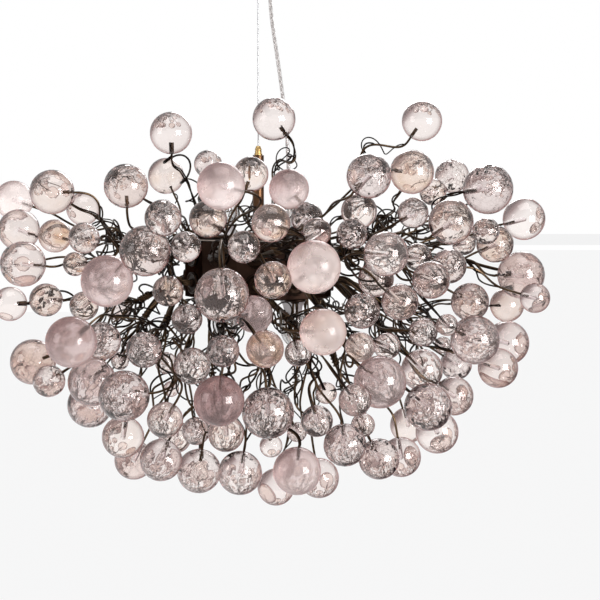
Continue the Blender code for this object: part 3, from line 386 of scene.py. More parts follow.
def twisted(path, offset, pitch, start=0.0):
    """A strand's path: it winds round the given paths at that offset, one turn in each pitch."""
    travel = np.gradient(path, axis=1)
    travel /= np.linalg.norm(travel, axis=2, keepdims=True)
    away = carry(path, 1.0, 4)[:, :, 0] - path
    across = np.cross(travel, away)
    angle = (run_of(path) / pitch * math.tau + np.reshape(start, (-1, 1)))[..., None]
    return path + np.asarray(offset) * (np.cos(angle) * away + np.sin(angle) * across)


def painted_dark_rim(add, colour, painted_rim_colour, start, end):
    """A clear body's colour, which goes over to the rim colour where the surface turns away: a painted dark rim,
    which stands in for the dark room that clear glass shows at its edge."""
    edge = add("LayerWeight", Blend=0.5)
    return mixed(add, mapped(add, edge.outputs["Facing"], start, end), colour, painted_rim_colour)


def let_light_through(add, surface, colour):
    """The material's surface, with a shadow that lets light of this colour through."""
    through = add("BsdfTransparent", Color=(*colour, 1))
    mix = blended(add, add("LightPath").outputs["Is Shadow Ray"], surface, through)
    add("OutputMaterial", Surface=mix.outputs[0])


def clear_solid(name, colour, painted_rim_colour, rough, ior, painted_rim_start=0.35):
    """Clear plastic or glass with a painted dark rim; its shadow is let through, so that what lies in it is lit."""
    material, add = start_material(name)
    tone = painted_dark_rim(add, colour, painted_rim_colour, painted_rim_start, 0.9)
    shader = add("BsdfPrincipled", {"Transmission Weight": 1.0, "Base Color": tone}, IOR=ior,
                 Roughness=noisy(add, 80, rough * 0.5, rough * 1.5))
    let_light_through(add, shader, colour)
    return material


# Each clear material's second colour is its painted dark rim
clear_sleeve = clear_solid("clear_sleeve", (0.86, 0.84, 0.84), (0.12, 0.10, 0.10), 0.08, 1.46)
tinned = worn_metal("tinned_copper", (0.55, 0.53, 0.52), (0.78, 0.76, 0.74), 0.25, 0.4, 500)
flex_curve = curve_through(np.array(FLEX_POINTS)[None], 400)
flex_path = evened(flex_curve, 110)
strand_turn = [twisted(evened(flex_curve, 220), 0.72 * MM, 17 * MM, turn) for turn in (0.0, math.pi)]
strands = piece("flex_strands", [tubes(np.concatenate(strand_turn), 0.62 * MM, 8)], None, [tinned])
flex = piece("flex_sleeve", [tubes(flex_path, FLEX_RADIUS, 16)], None, [clear_sleeve], ["power_flex"])
for part in (flex, strands):
    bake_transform(part)


# The ceiling fitting: a zinc-plated strip bracket with a hollow stud, a satin bronze cup that slides up over
# it, a brass nut on the stud, a black terminal block and black push-in glands.
bronze = worn_metal("dark_bronze", (0.020, 0.012, 0.009), (0.060, 0.036, 0.024), 0.30, 0.46, 60)
zinc = worn_metal("zinc_plate", (0.42, 0.42, 0.40), (0.58, 0.57, 0.53), 0.28, 0.42, 120)
brass = worn_metal("aged_brass", (0.42, 0.27, 0.10), (0.66, 0.46, 0.19), 0.22, 0.36, 180)
black_plastic = worn_metal("black_plastic", (0.018, 0.018, 0.019), (0.032, 0.032, 0.033), 0.42, 0.55, 150,
                           metallic=0.0)


def lathe(profile, sides, place=(0, 0, 0), closed=False, number=0, flip=False):
    """Block for piece(): (radius, height) rows turned about the upright axis. The rows run from the bottom up
    the outer side. An open profile starts and ends with a small ring, which a flat cap closes."""
    rows = np.asarray(profile, float)
    angle = math.tau * np.arange(sides) / sides
    points = np.stack([rows[:, :1] * np.cos(angle), rows[:, :1] * np.sin(angle),
                       np.repeat(rows[:, 1:], sides, 1)], -1)
    if flip:
        points = points * (1, -1, -1)
    quads, caps = ring_faces(len(rows), sides, closed)
    return points.reshape(-1, 3) + place, [quads, *caps], number


def rounded(corners, radius, steps=4):
    """The profile with each corner swept round by a quadratic arc that starts and ends radius away from it.
    A corner given as (radius, height, r) has its own r. Corners are in millimetres and the rows in metres."""
    rows = []
    for k, corner in enumerate(corners):
        here = np.array(corner[:2], float)
        reach = corner[2] if len(corner) > 2 else radius
        if k in (0, len(corners) - 1) or reach == 0:
            rows.append(here)
            continue
        before, after = np.array(corners[k - 1][:2], float), np.array(corners[k + 1][:2], float)
        inward, outward = before - here, after - here
        reach_in = min(reach, np.linalg.norm(inward) * 0.45)
        reach_out = min(reach, np.linalg.norm(outward) * 0.45)
        start = here + inward / np.linalg.norm(inward) * reach_in
        end = here + outward / np.linalg.norm(outward) * reach_out
        t = np.linspace(0, 1, steps)[:, None]
        rows += list((1 - t) ** 2 * start + 2 * t * (1 - t) * here + t ** 2 * end)
    return np.array(rows) * MM


def ring_rounded(corners, radius, steps=4):
    """The same for a ring or a pipe, whose profile closes on its first corner."""
    return rounded([*corners, corners[0]], radius, steps)[:-1]


for node, finish in (("ceiling_bracket", zinc), ("terminal_block", black_plastic), ("canopy_gland", black_plastic),
                     ("hub_gland", black_plastic), ("wire_connector", black_plastic)):
    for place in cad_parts[node].material_slots:
        place.material = finish

cup = ring_rounded([(4.3, -28.5, 0), (4.3, -30, 0.3), (50, -30, 6), (50, -0.3, 0.4), (48.5, -0.3, 0.4),
                    (48.5, -28.5, 4.5)], 0.4, 6)
piece("canopy_shell", [lathe(cup, 96, closed=True)], "canopy", [bronze], ["canopy_cup"])
nut = ring_rounded([(4.3, -30.3, 0), (4.3, -39.3, 0.4), (7.2, -39.3, 1.2), (7.2, -30.3, 0.5)], 0.4)
nut_points, nut_faces, _ = lathe(nut, 72, closed=True)
grooves = np.tile(np.arange(72), len(nut)) % 3 == 0
nut_points[:, :2] *= 1 - 0.035 * (grooves * (np.hypot(nut_points[:, 0], nut_points[:, 1]) > 7.0 * MM))[:, None]
piece("canopy_knurled_nut", [(nut_points, nut_faces, 0)], "canopy", [brass], ["canopy_nut"], sharp=35)


# The cable gripper is a turned brass plug: its spigot sits in the stem, its collar on the stem's rim, and its
# nose narrows to the cable. A slit round the nose shows where the release sleeve slides.
HUB = (0, 0, HUB_Z)
SPIGOT_LOW = STEM_TOP - 8
gripper = ring_rounded([(1.1, SPIGOT_LOW, 0), (3.9, SPIGOT_LOW, 0.4), (3.9, STEM_SEAT, 0), (4.4, STEM_SEAT, 0.2),
                        (4.3, STEM_SEAT + 1.4, 0.3), (3.6, STEM_SEAT + 1.6, 0.1), (3.6, STEM_SEAT + 4.4, 0.1),
                        (3.1, STEM_SEAT + 4.5, 0.1), (3.1, STEM_SEAT + 5.0, 0.1), (3.6, STEM_SEAT + 5.1, 0.2),
                        (3.6, STEM_SEAT + 5.9, 0.4), (2.2, STEM_SEAT + 9.5, 0.4), (1.1, STEM_SEAT + 9.5, 0.1)],
                       0.2, 3)
piece("brass_gripper", [lathe(gripper, 32, HUB, closed=True)], "crown", [brass], ["cable_gripper"],
      sharp=40)


# The stem is a bronze-brown tube 12 mm thick. It runs from the gripper down through the drum, where a round
# nut on the lid and a domed cap nut under the floor clamp the drum and its lid together.
STEM_LOW = FLOOR_LOW - 7
stem_brown = worn_metal("stem_bronze", (0.070, 0.036, 0.020), (0.150, 0.080, 0.042), 0.26, 0.38, 70)
stem = ring_rounded([(4.4, STEM_LOW, 0), (6, STEM_LOW, 0.3), (6, STEM_TOP, 0.5), (4.4, STEM_TOP, 0.3)], 0.3)
piece("stem_pipe", [lathe(stem, 48, HUB, closed=True)], "crown", [stem_brown], ["stem_tube"])
clamp = ring_rounded([(6.3, LID_SEAT, 0), (10, LID_SEAT, 0.4), (10, LID_SEAT + 5, 1.2), (6.3, LID_SEAT + 5, 0.4)],
                     0.4)
piece("lid_nut", [lathe(clamp, 48, HUB, closed=True)], "crown", [bronze], ["stem_nut"])
dome = rounded([(0.02, FLOOR_SEAT - 13), (5, FLOOR_SEAT - 12.2), (8.6, FLOOR_SEAT - 9.8), (10, FLOOR_SEAT - 6.8),
                (10, FLOOR_SEAT - 0.5), (9.6, FLOOR_SEAT), (6.3, FLOOR_SEAT), (6.3, STEM_LOW - 0.3),
                (0.02, STEM_LOW - 0.3)], 1.2)
piece("domed_nut", [lathe(dome, 48, HUB)], "crown", [bronze], ["cap_nut"], sharp=50)


# The hub is a twelve-sided pressed steel drum with a flat lid, both painted dark bronze. The lid's rim is a
# lighter metal, a painted highlight of its edge catching light; small countersunk screws hold the lid to the drum.
HUB_APOTHEM = 78 * MM
RIM_BEAD = 0.8 * MM
HALF_FACET = math.pi / 12


def on_circle(radius, degrees):
    return radius * math.cos(math.radians(degrees)), radius * math.sin(math.radians(degrees))


drum_paint = worn_metal("drum_bronze", (0.010, 0.006, 0.005), (0.034, 0.019, 0.013), 0.40, 0.56, 45,
                        edge=(0.12, 0.08, 0.06))
# A lighter metal: on the lid's rolled rim it is a painted highlight of the edge catching light; the screws use it
# too
painted_highlight_and_screw_metal = worn_metal("painted_highlight_and_screw_metal", (0.10, 0.075, 0.06), (0.42, 0.36, 0.32), 0.22, 0.34, 60)
for node in ("hub_drum", "hub_lid"):
    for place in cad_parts[node].material_slots:
        place.material = drum_paint
    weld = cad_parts[node].modifiers.new("weld", "WELD")
    weld.merge_threshold = 0.02 * MM
    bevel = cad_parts[node].modifiers.new("edge", "BEVEL")
    bevel.width = 0.5 * MM
    bevel.segments = 2
    bevel.limit_method = "ANGLE"
    bevel.angle_limit = math.radians(25)
bead_turn = math.tau * np.arange(8) / 8
bead = np.stack([(HUB_APOTHEM + 0.3 * MM + RIM_BEAD * np.cos(bead_turn)) / math.cos(HALF_FACET),
                 (LID_TOP - 1) * MM + RIM_BEAD * np.sin(bead_turn)], 1)
bead_points, bead_faces, _ = lathe(bead, 12, HUB, closed=True)
half_turn = np.array(Matrix.Rotation(HALF_FACET, 3, "Z"))
# The rolled rim's lighter metal is a painted highlight
piece("lid_rolled_rim", [(bead_points @ half_turn.T, bead_faces, 0)], "crown", [painted_highlight_and_screw_metal],
      sharp=25)
screw = rounded([(0.02, 0.0), (2.9, 0.0, 0), (2.9, 0.5, 0.3), (1.0, 1.0, 0.5), (0.9, 0.4, 0.1), (0.02, 0.4)], 0.3)
screws = [lathe(screw, 20, (*on_circle(70 * MM, degrees), HUB_Z + LID_TOP * MM)) for degrees in (60, 120, 240, 315)]
piece("lid_screws", screws, "crown", [painted_highlight_and_screw_metal], sharp=40)


# The lamps: a bronze screw holder in the lid or the floor, and a candle lamp in it, with a threaded cap, a
# satin grey sleeve and a clear glass bulb, in which a wide spiral filament stands round a thin glass foot.
LAMP_CIRCLE = 43 * MM
LAMP_PLACES = [("upper_1", 215, 1), ("upper_2", 35, 1), ("lower_1", -30, -1), ("lower_2", 150, -1)]
THREAD_PITCH = 2.8
GLASS_WALL = 3.2
GLASS_LOW = 18.1
GLASS_TOP = GLASS_LOW + 36
sleeve_grey = worn_metal("sleeve_grey", (0.40, 0.39, 0.40), (0.56, 0.55, 0.56), 0.30, 0.42, 130, metallic=0.75)
cap_metal = worn_metal("cap_metal", (0.50, 0.48, 0.44), (0.66, 0.64, 0.58), 0.2, 0.32, 160)
# The bulb glass's second colour is its painted dark rim
bulb_glass = clear_solid("bulb_glass", (0.97, 0.97, 0.97), (0.004, 0.003, 0.003), 0.02, 1.45, 0.2)
filament = worn_metal("filament", (0.060, 0.034, 0.018), (0.20, 0.12, 0.060), 0.3, 0.4, 300)
holder = rounded([(0.02, -23, 0), (11.5, -23, 0.8), (11.5, 0.3, 0), (14.5, 0.3, 0.4), (14.5, 2.8, 0.9),
                  (7.6, 2.8, 0.4), (7.6, -16.2, 0.2), (0.02, -16.2, 0)], 0.4)
thread = [(6.55 + 0.38 * math.cos(math.tau * height / THREAD_PITCH), height) for height in np.linspace(-14, 0, 57)]
cap = np.array([(0.02, -14.9), (3, -14.9), (6.2, -14.2), *thread, (7.0, 0.6), (7.0, 3.1), (0.02, 3.1)]) * MM
sleeve = rounded([(0.02, 3.15), (13.8, 3.15, 0.4), (14.0, 4.6, 0.6), (10.4, 10, 4), (9.2, 18.6, 0.6),
                  (8.4, 19.0, 0.3), (0.02, 19.0)], 0.4, 5)
rise = np.linspace(0, 1, 22)
height = GLASS_LOW + (GLASS_TOP - GLASS_LOW) * rise
outer = 15 * np.sqrt(np.clip(1 - np.maximum(rise - 0.25, 0) ** 2 / 0.5625, 0.0001, 1)) * (
    1 - 0.35 * np.clip(0.18 - rise, 0, 1) ** 1.2 / 0.18)
inner = outer - GLASS_WALL
hollow = inner > 0.02
lower = height + np.where(rise == 0, 0.4, -0.8 * rise)
glass = np.array([*zip(outer[:-1], height), (0.3, GLASS_TOP)]) * MM
cavity = np.array([*zip(inner[hollow], lower[hollow]), (0.3, GLASS_TOP - 0.8)]) * MM
along = np.linspace(0, 1, 120)
spiral = math.tau * 4.2 * along
coil = np.stack([8 * np.cos(spiral), 8 * np.sin(spiral), 26 + 18 * along + 3.5 * np.cos(spiral)], 1) * MM
foot = rounded([(0.02, 19.2), (4, 19.2, 1), (1.2, 26, 2), (1.2, 43, 0.5), (0.02, 43)], 0.5)
for name, degrees, up in LAMP_PLACES:
    place = np.array([*on_circle(LAMP_CIRCLE, degrees), HUB_Z + (LID_TOP if up > 0 else FLOOR_LOW) * MM])
    put = {"place": place, "flip": up < 0}
    lamp = f"bulb_{name}"
    piece(f"screw_holder_{name}", [lathe(holder, 48, **put)], "crown", [bronze], [f"lampholder_{name}"],
          sharp=45)
    piece(f"lamp_cap_{name}", [lathe(cap, 40, **put)], lamp, [cap_metal], [lamp], sharp=60)
    piece(f"lamp_sleeve_{name}", [lathe(sleeve, 48, **put)], lamp, [sleeve_grey], sharp=50)
    cavity_points, cavity_faces, _ = lathe(cavity, 40, **put)
    inward_faces = [np.atleast_2d(face)[:, ::-1] for face in cavity_faces]
    piece(f"lamp_glass_{name}", [lathe(glass, 40, **put), (cavity_points, inward_faces, 0)], lamp, [bulb_glass])
    coil_block = tubes((coil * (1, up, up) + place)[None], 0.8 * MM, 8)
    piece(f"lamp_filament_{name}", [coil_block, lathe(foot, 20, number=1, **put)], lamp, [filament, bulb_glass])


# The crown: solid clear resin balls with a smoky pink tint, 18 to 51 mm wide, each drilled to its middle and
# pushed on the end of a bronze wire. Their places come from the photograph's pixels, by the same rule as in
# the model's own source: each ball lies on its line of sight, and near balls have a twin behind them.
CROWN_RADIUS = 274.0 * PIXEL
RIM_SLACK = 60 * MM
BALL_GAP = 1.5 * MM
HUB_KEEP_OUT = 118 * MM
FRONT_BALLS_PX = (
    (107, 281, 52), (145, 251, 51), (221, 186, 48), (314, 267, 54), (222, 295, 55), (323, 332, 47),
    (219, 401, 51), (268, 413, 52), (124, 396, 51), (380, 382, 53), (71, 342, 51), (273, 280, 38),
    (271, 223, 39), (244, 247, 33), (386, 254, 45), (451, 222, 45), (488, 189, 50), (400, 302, 37),
    (475, 340, 49), (428, 407, 48), (265, 349, 38), (223, 351, 33), (163, 218, 37), (126, 186, 44),
    (369, 176, 45), (431, 280, 38), (355, 400, 33), (345, 445, 43), (379, 459, 41), (297, 471, 48),
    (240, 473, 44), (161, 460, 42), (165, 420, 36), (362, 311, 36), (23, 264, 45), (144, 350, 36),
)
SECOND_BALLS_PX = (
    (289, 189, 40), (208, 219, 38), (186, 247, 31), (254, 314, 38), (298, 353, 27), (187, 319, 31),
    (168, 291, 31), (192, 366, 37), (92, 382, 48), (102, 341, 38), (226, 434, 36), (317, 421, 32),
    (422, 370, 42), (423, 332, 29), (387, 346, 27), (360, 347, 30), (376, 279, 36), (418, 257, 28),
    (449, 266, 35), (470, 302, 38), (521, 275, 47), (486, 231, 27), (413, 213, 31), (412, 172, 44),
    (359, 211, 36), (352, 234, 31), (307, 218, 32), (317, 232, 29), (52, 192, 44), (75, 264, 24),
    (134, 460, 39), (199, 471, 44), (33, 362, 45), (363, 425, 24), (84, 238, 31), (447, 325, 22),
    (251, 174, 35),
)
MIDDLE_BALLS_PX = (
    (524, 219, 42), (495, 244, 37), (507, 343, 44), (454, 396, 39), (437, 432, 43), (401, 457, 40),
    (319, 478, 40), (123, 437, 42), (90, 405, 45), (49, 381, 32), (46, 300, 33), (10, 304, 34),
    (19, 230, 41), (55, 236, 33), (196, 431, 28), (443, 345, 17), (120, 361, 18), (166, 363, 22),
    (84, 306, 29), (464, 243, 24), (535, 298, 30), (297, 432, 20),
)
BEHIND_BALLS_PX = (
    (83, 209, 33), (118, 307, 28), (208, 164, 28), (433, 192, 27), (271, 446, 23), (276, 487, 37),
    (171, 389, 16), (175, 437, 33), (326, 393, 22),
)
BACK_BALLS_PX = (
    (166, 176, 36), (452, 176, 34), (14, 200, 38), (507, 305, 34), (498, 368, 40), (456, 364, 32),
    (408, 425, 36),
)
STRAY_BALLS_PX = ((171, 133, 42), (274, 119, 43), (422, 121, 40))
BALL_LAYERS = ((FRONT_BALLS_PX, -0.93), (SECOND_BALLS_PX, -0.58), (MIDDLE_BALLS_PX, -0.10),
               (BEHIND_BALLS_PX, 0.45), (BACK_BALLS_PX, 0.85), (STRAY_BALLS_PX, -0.12),
               (FRONT_BALLS_PX, 0.93), (SECOND_BALLS_PX, 0.58))
SEEN_LAYERS = 6


def place_balls():
    """Centres and radii of all balls in the hub's frame. A ball's sight line goes through its pixel; its place
    on the line is a share of the way to the crown's outline; balls that touch slide apart along their lines."""
    seen = np.array([(*ball, share, k >= SEEN_LAYERS) for k, (balls, share) in enumerate(BALL_LAYERS)
                     for ball in balls])
    rays = (SIGHT_FORWARD + np.outer((seen[:, 0] - PICTURE_PX / 2) / EYE_DISTANCE_PX, SIGHT_RIGHT)
            + np.outer((PICTURE_PX / 2 - seen[:, 1]) / EYE_DISTANCE_PX, SIGHT_UP))
    rays /= np.linalg.norm(rays, axis=1)[:, None]
    nearest = rays @ (CROWN_MIDDLE - EYE)
    aside = np.linalg.norm(EYE + rays * nearest[:, None] - CROWN_MIDDLE, axis=1)
    reach = CROWN_RADIUS - seen[:, 2] / 2 * PIXEL
    half = np.sqrt(np.maximum(reach ** 2 - aside ** 2, 0))
    along = nearest + seen[:, 3] * half
    twin = seen[:, 4] > 0
    near = along.copy()
    near[twin] = (nearest - seen[:, 3] * half)[twin]
    radii = seen[:, 2] / 2 * PIXEL * near / EYE_DISTANCE
    low = nearest - np.maximum(half, RIM_SLACK)
    high = nearest + np.maximum(half, RIM_SLACK)
    for step in range(400):
        places = EYE + rays * along[:, None]
        if step < 80:
            radii[~twin] = (seen[:, 2] / 2 * PIXEL * along / EYE_DISTANCE)[~twin]
        apart = places[:, None] - places[None]
        depth = along[:, None] - along[None]
        depth += np.sign(np.arange(len(along))[:, None] - np.arange(len(along))[None]) * BALL_GAP * (depth == 0)
        aside = np.maximum((apart ** 2).sum(2) - depth ** 2, 0)
        need = radii[:, None] + radii[None] + BALL_GAP
        short = np.sqrt(np.maximum(need ** 2 - aside, 0)) - np.abs(depth)
        np.fill_diagonal(short, 0)
        push = (np.sign(depth) * np.maximum(short, 0)).sum(1) / 2
        from_hub = np.linalg.norm(places, axis=1)
        push += np.sign(along - nearest) * np.maximum(HUB_KEEP_OUT + radii - from_hub, 0)
        if not np.abs(push).any():
            break
        along = np.clip(along + 0.6 * np.clip(push, -BALL_GAP * 6, BALL_GAP * 6), low, high)
    places = EYE + rays * along[:, None]
    keep = np.ones(len(along), bool)
    for j in np.flatnonzero(twin):
        away = np.linalg.norm(places - places[j], axis=1) - radii - radii[j]
        away[j] = BALL_GAP
        keep[j] = not (away[keep] < BALL_GAP / 2).any()
    stray = np.zeros(len(along), bool)
    first = sum(len(balls) for balls, _ in BALL_LAYERS[:SEEN_LAYERS - 1])
    stray[first:first + len(STRAY_BALLS_PX)] = True
    return places[keep], radii[keep], stray[keep]


# The wires: soft annealed bronze, screwed to the drum in sprays. Each spray has a washer on the drum, a
# twisted stalk and a knot where it forks into one wire for each ball. The rule for who hangs where and how
# the wires run clear of each other is the one in the model's own source.
WASHER_CIRCLE = 65 * MM
WALL_SEAT = 78.3
ROW_HEIGHT = 14.5 * MM
UNDER_BELOW = -52


def share_out(places, stray):
    """Sprays as (CAD node, foot, outward normal, numbers of its balls)."""
    rise = np.degrees(np.arctan2(places[:, 2], np.hypot(places[:, 0], places[:, 1])))
    turn = np.degrees(np.arctan2(places[:, 1], places[:, 0]))
    sprays = []
    for number, (ball, degrees) in enumerate(zip(np.flatnonzero(stray), (165, -75, -12)), 1):
        foot = np.array([*on_circle(WASHER_CIRCLE, degrees), LID_SEAT * MM])
        sprays.append((f"sprig_{number}", foot, np.array([0.0, 0.0, 1.0]), [ball]))
    under = np.flatnonzero((rise < UNDER_BELOW) & ~stray)
    under = under[np.argsort((turn[under] + 7.5 + 22.5) % 360)]
    for number, balls in enumerate(np.array_split(under, 8), 1):
        foot = np.array([*on_circle(WASHER_CIRCLE, -7.5 + (number - 1) * 45), FLOOR_SEAT * MM])
        sprays.append((f"spray_under_{number}", foot, np.array([0.0, 0.0, -1.0]), list(balls)))
    around = np.flatnonzero((rise >= UNDER_BELOW) & ~stray)
    around = around[np.argsort((turn[around] + 15) % 360)]
    for facet, balls in enumerate(np.array_split(around, 12)):
        balls = balls[np.argsort(-rise[balls])]
        for row, height, half in (("upper", ROW_HEIGHT, balls[:(len(balls) + 1) // 2]),
                                  ("lower", -ROW_HEIGHT, balls[(len(balls) + 1) // 2:])):
            normal = np.array([*on_circle(1.0, facet * 30), 0.0])
            sprays.append((f"spray_{row}_{facet + 1:02d}", normal * WALL_SEAT * MM + np.array([0, 0, height]),
                           normal, list(half)))
    return sprays


ball_places, ball_radii, ball_stray = place_balls()
sprays = share_out(ball_places, ball_stray)


def nearest_on_segments(start, end, point):
    """The share along each segment where it comes nearest to its point."""
    line = end - start
    return np.clip(((point - start) * line).sum(-1) / np.maximum((line ** 2).sum(-1), 1e-12), 0, 1)


def nearest_between(a, b, c, d):
    """The shares along segments ab and cd where the two come nearest."""
    u, v, w = b - a, d - c, a - c
    uu, uv, vv = (u * u).sum(-1), (u * v).sum(-1), (v * v).sum(-1)
    uw, vw = (u * w).sum(-1), (v * w).sum(-1)
    s = np.clip((uv * vw - vv * uw) / np.maximum(uu * vv - uv ** 2, 1e-14), 0, 1)
    t = np.clip((uv * s + vw) / np.maximum(vv, 1e-14), 0, 1)
    s = np.clip((uv * t - uw) / np.maximum(uu, 1e-14), 0, 1)
    return s, t


def pushed_out(away, reach):
    """The way that is missing where away, from a thing's middle, is shorter than reach."""
    dist = np.maximum(np.linalg.norm(away, axis=-1, keepdims=True), 1e-6)
    return away / dist * np.maximum(np.asarray(reach)[..., None] - dist, 0)


# Rods that no wire may enter: the lamps with their way out, the stem, and the cable with the flex
DRUM_TOP = LID_TOP * MM
LAMP_WAY = DRUM_TOP + (2.5 + 15 + 36 + 24) * MM
KEEP_OUT_RODS = [((*on_circle(LAMP_CIRCLE, degrees), 0), (*on_circle(LAMP_CIRCLE, degrees), LAMP_WAY * up),
                  23 * MM) for _, degrees, up in LAMP_PLACES]
KEEP_OUT_RODS.append(((0, 0, -60 * MM), (0, 0, CROWN_DROP), 14 * MM))
KEEP_OUT_RODS.append(((33 * MM, -8 * MM, 0), (13 * MM, 0, CROWN_DROP), 16 * MM))
KEEP_OUT_RODS = [(np.array(low, float), np.array(high, float), radius) for low, high, radius in KEEP_OUT_RODS]
WIRE_RADIUS = 1.4 * MM
STALK_RADIUS = 2.6 * MM
STALK_LEAD = 13 * MM
WIRE_GAP = 1.6 * MM
KNOT_SHARE = 0.40
BOW_SHARE = 0.09
ROUTE_ROUNDS = 260
SMOOTH_ROUNDS = 200
GOLDEN_ANGLE = math.pi * (3 - math.sqrt(5))


def route(places, radii, sprays):
    """Every wire's points, in the hub's frame. Wires start as bowed lines from a spray's knot to its balls, and
    are then pushed clear of all balls, of each other and of the hub, and smoothed, until they run free."""
    points, fixed, wires = [], [], []
    for number, (name, foot, normal, balls) in enumerate(sprays):
        face = foot + normal * 3 * MM
        lead = face + normal * STALK_LEAD
        middle = places[balls].mean(0)
        knot = lead + (middle - lead) * KNOT_SHARE
        base = len(points)
        points += [face, lead, (lead + knot) / 2 + normal * STALK_LEAD / 3, knot]
        fixed += [True, True, False, False]
        wires.append((number, -1, list(range(base, base + 4)), STALK_RADIUS))
        for ball in balls:
            towards = knot - places[ball]
            end = places[ball] + towards / np.linalg.norm(towards) * radii[ball]
            side = np.cross(end - knot, [math.cos(GOLDEN_ANGLE * ball), math.sin(GOLDEN_ANGLE * ball), 0.3])
            bow = side / np.linalg.norm(side) * np.linalg.norm(end - knot) * BOW_SHARE
            first = len(points)
            points += [knot + (end - knot) * share + bow * math.sin(math.tau * share) for share in (0.3, 0.66)]
            points.append(end)
            fixed += [False, False, True]
            wires.append((number, ball, [base + 3, first, first + 1, first + 2], WIRE_RADIUS))
    points = np.array(points)
    free = ~np.array(fixed)
    seg = np.array([(i, j) for _, _, chain, _ in wires for i, j in zip(chain, chain[1:])])
    seg_wire = np.array([k for k, (_, _, chain, _) in enumerate(wires) for _ in chain[1:]])
    seg_radius = np.array([wires[k][3] for k in seg_wire])
    own_ball = np.array([wires[k][1] for k in seg_wire])
    last = np.array([n == len(chain) - 2 for _, _, chain, _ in wires for n in range(len(chain) - 1)])
    joints = np.array([(chain[n - 1], chain[n], chain[n + 1]) for _, _, chain, _ in wires
                       for n in range(1, len(chain) - 1)])
    ends = np.array([(chain[-2], chain[-1], ball) for _, ball, chain, _ in wires if ball >= 0])
    for step in range(ROUTE_ROUNDS):
        if step % 10 == 0:
            start, end = points[seg[:, 0]], points[seg[:, 1]]
            mids, halves = (start + end) / 2, np.linalg.norm(end - start, axis=1) / 2
            close = np.linalg.norm(mids[:, None] - places[None], axis=2) < (
                halves[:, None] + radii[None] + 8 * WIRE_GAP)
            close[np.arange(len(seg))[last], own_ball[last]] &= own_ball[last] < 0
            sb_s, sb_b = np.nonzero(close)
            near = np.linalg.norm(mids[:, None] - mids[None], axis=2) < (
                halves[:, None] + halves[None] + 8 * WIRE_GAP)
            near &= np.arange(len(seg))[:, None] < np.arange(len(seg))[None]
            touching = (seg[:, None, :, None] == seg[None, :, None, :]).any((2, 3))
            ss_a, ss_b = np.nonzero(near & ~touching)
        move, weight = np.zeros_like(points), np.full(len(points), 1e-9)

        def push(which, share, offset):
            for end, amount in ((0, 1 - share), (1, share)):
                np.add.at(move, seg[which, end], offset * amount[:, None])
                np.add.at(weight, seg[which, end], amount * (np.abs(offset).sum(1) > 0))

        a, b, c = points[seg[sb_s, 0]], points[seg[sb_s, 1]], places[sb_b]
        share = nearest_on_segments(a, b, c)
        away = a + (b - a) * share[:, None] - c
        push(sb_s, share, pushed_out(away, radii[sb_b] + seg_radius[sb_s] + WIRE_GAP) * 1.3)
        a, b, c, d = points[seg[ss_a, 0]], points[seg[ss_a, 1]], points[seg[ss_b, 0]], points[seg[ss_b, 1]]
        s, t = nearest_between(a, b, c, d)
        away = a + (b - a) * s[:, None] - c - (d - c) * t[:, None]
        offset = pushed_out(away, seg_radius[ss_a] + seg_radius[ss_b] + WIRE_GAP) * 0.7
        push(ss_a, s, offset)
        push(ss_b, t, -offset)
        for low, high, radius in KEEP_OUT_RODS:
            a, b = points[seg[:, 0]], points[seg[:, 1]]
            s, t = nearest_between(a, b, low[None], high[None])
            away = a + (b - a) * s[:, None] - low - (high - low) * t[:, None]
            push(np.arange(len(seg)), s, pushed_out(away, radius + seg_radius))
        flat = np.hypot(points[:, 0], points[:, 1])
        inside = (flat < HUB_APOTHEM + STALK_LEAD) & (np.abs(points[:, 2]) < DRUM_TOP + STALK_LEAD) & free
        out_side = HUB_APOTHEM + STALK_LEAD - flat
        out_top = DRUM_TOP + STALK_LEAD - np.abs(points[:, 2])
        sideways = inside & (out_side < out_top)
        upwards = inside & ~sideways
        move[sideways, :2] += (points[sideways, :2] / flat[sideways, None]) * out_side[sideways, None]
        move[upwards, 2] += np.sign(points[upwards, 2]) * out_top[upwards]
        points[free] += (move / np.maximum(weight, 1)[:, None])[free]
        if step < SMOOTH_ROUNDS:
            pull = (points[joints[:, 0]] + points[joints[:, 2]]) / 2 - points[joints[:, 1]]
            smooth = np.zeros_like(points)
            np.add.at(smooth, joints[:, 1], pull * 0.08)
            points[free] += smooth[free]
        outward = points[ends[:, 0]] - places[ends[:, 2]]
        outward /= np.linalg.norm(outward, axis=1)[:, None]
        points[ends[:, 1]] = places[ends[:, 2]] + outward * radii[ends[:, 2], None]
    return points, wires


def kept_clear(paths, thickness):
    """Paths nudged out of the balls and out of the rods, with both ends held. Each round ends with a light
    smoothing."""
    hold = np.sin(np.linspace(0, math.pi, paths.shape[1]))[None, :, None] > 0.12

    def smoothed(paths, share):
        soft = np.zeros_like(paths)
        soft[:, 1:-1] = (paths[:, :-2] + paths[:, 2:]) / 2 - paths[:, 1:-1]
        return paths + soft * share * hold

    for _ in range(30):
        push = pushed_out(paths[:, :, None] - ball_places[None, None], ball_radii + thickness).sum(2)
        for low, high, radius in KEEP_OUT_RODS:
            line = high - low
            share = np.clip((paths - low) @ line / (line @ line), 0, 1)
            push += pushed_out(paths - low - share[..., None] * line, radius - 6 * MM)
        flat = np.hypot(paths[..., 0], paths[..., 1])
        side = HUB_APOTHEM + 4 * MM
        inside = (flat < side) & (np.abs(paths[..., 2]) < DRUM_TOP + 3 * MM)
        push[..., :2] += paths[..., :2] * ((side - flat) * inside / np.maximum(flat, 1e-6))[..., None]
        paths = smoothed(paths + push * hold, 0.2)
    for _ in range(10):
        paths = smoothed(paths, 0.5)
    return paths


def turned_to(points, axis):
    """Points made round the upright axis, tilted so that it points along axis."""
    turn = Vector((0, 0, 1)).rotation_difference(Vector(axis)).to_matrix()
    return points @ np.array(turn).T


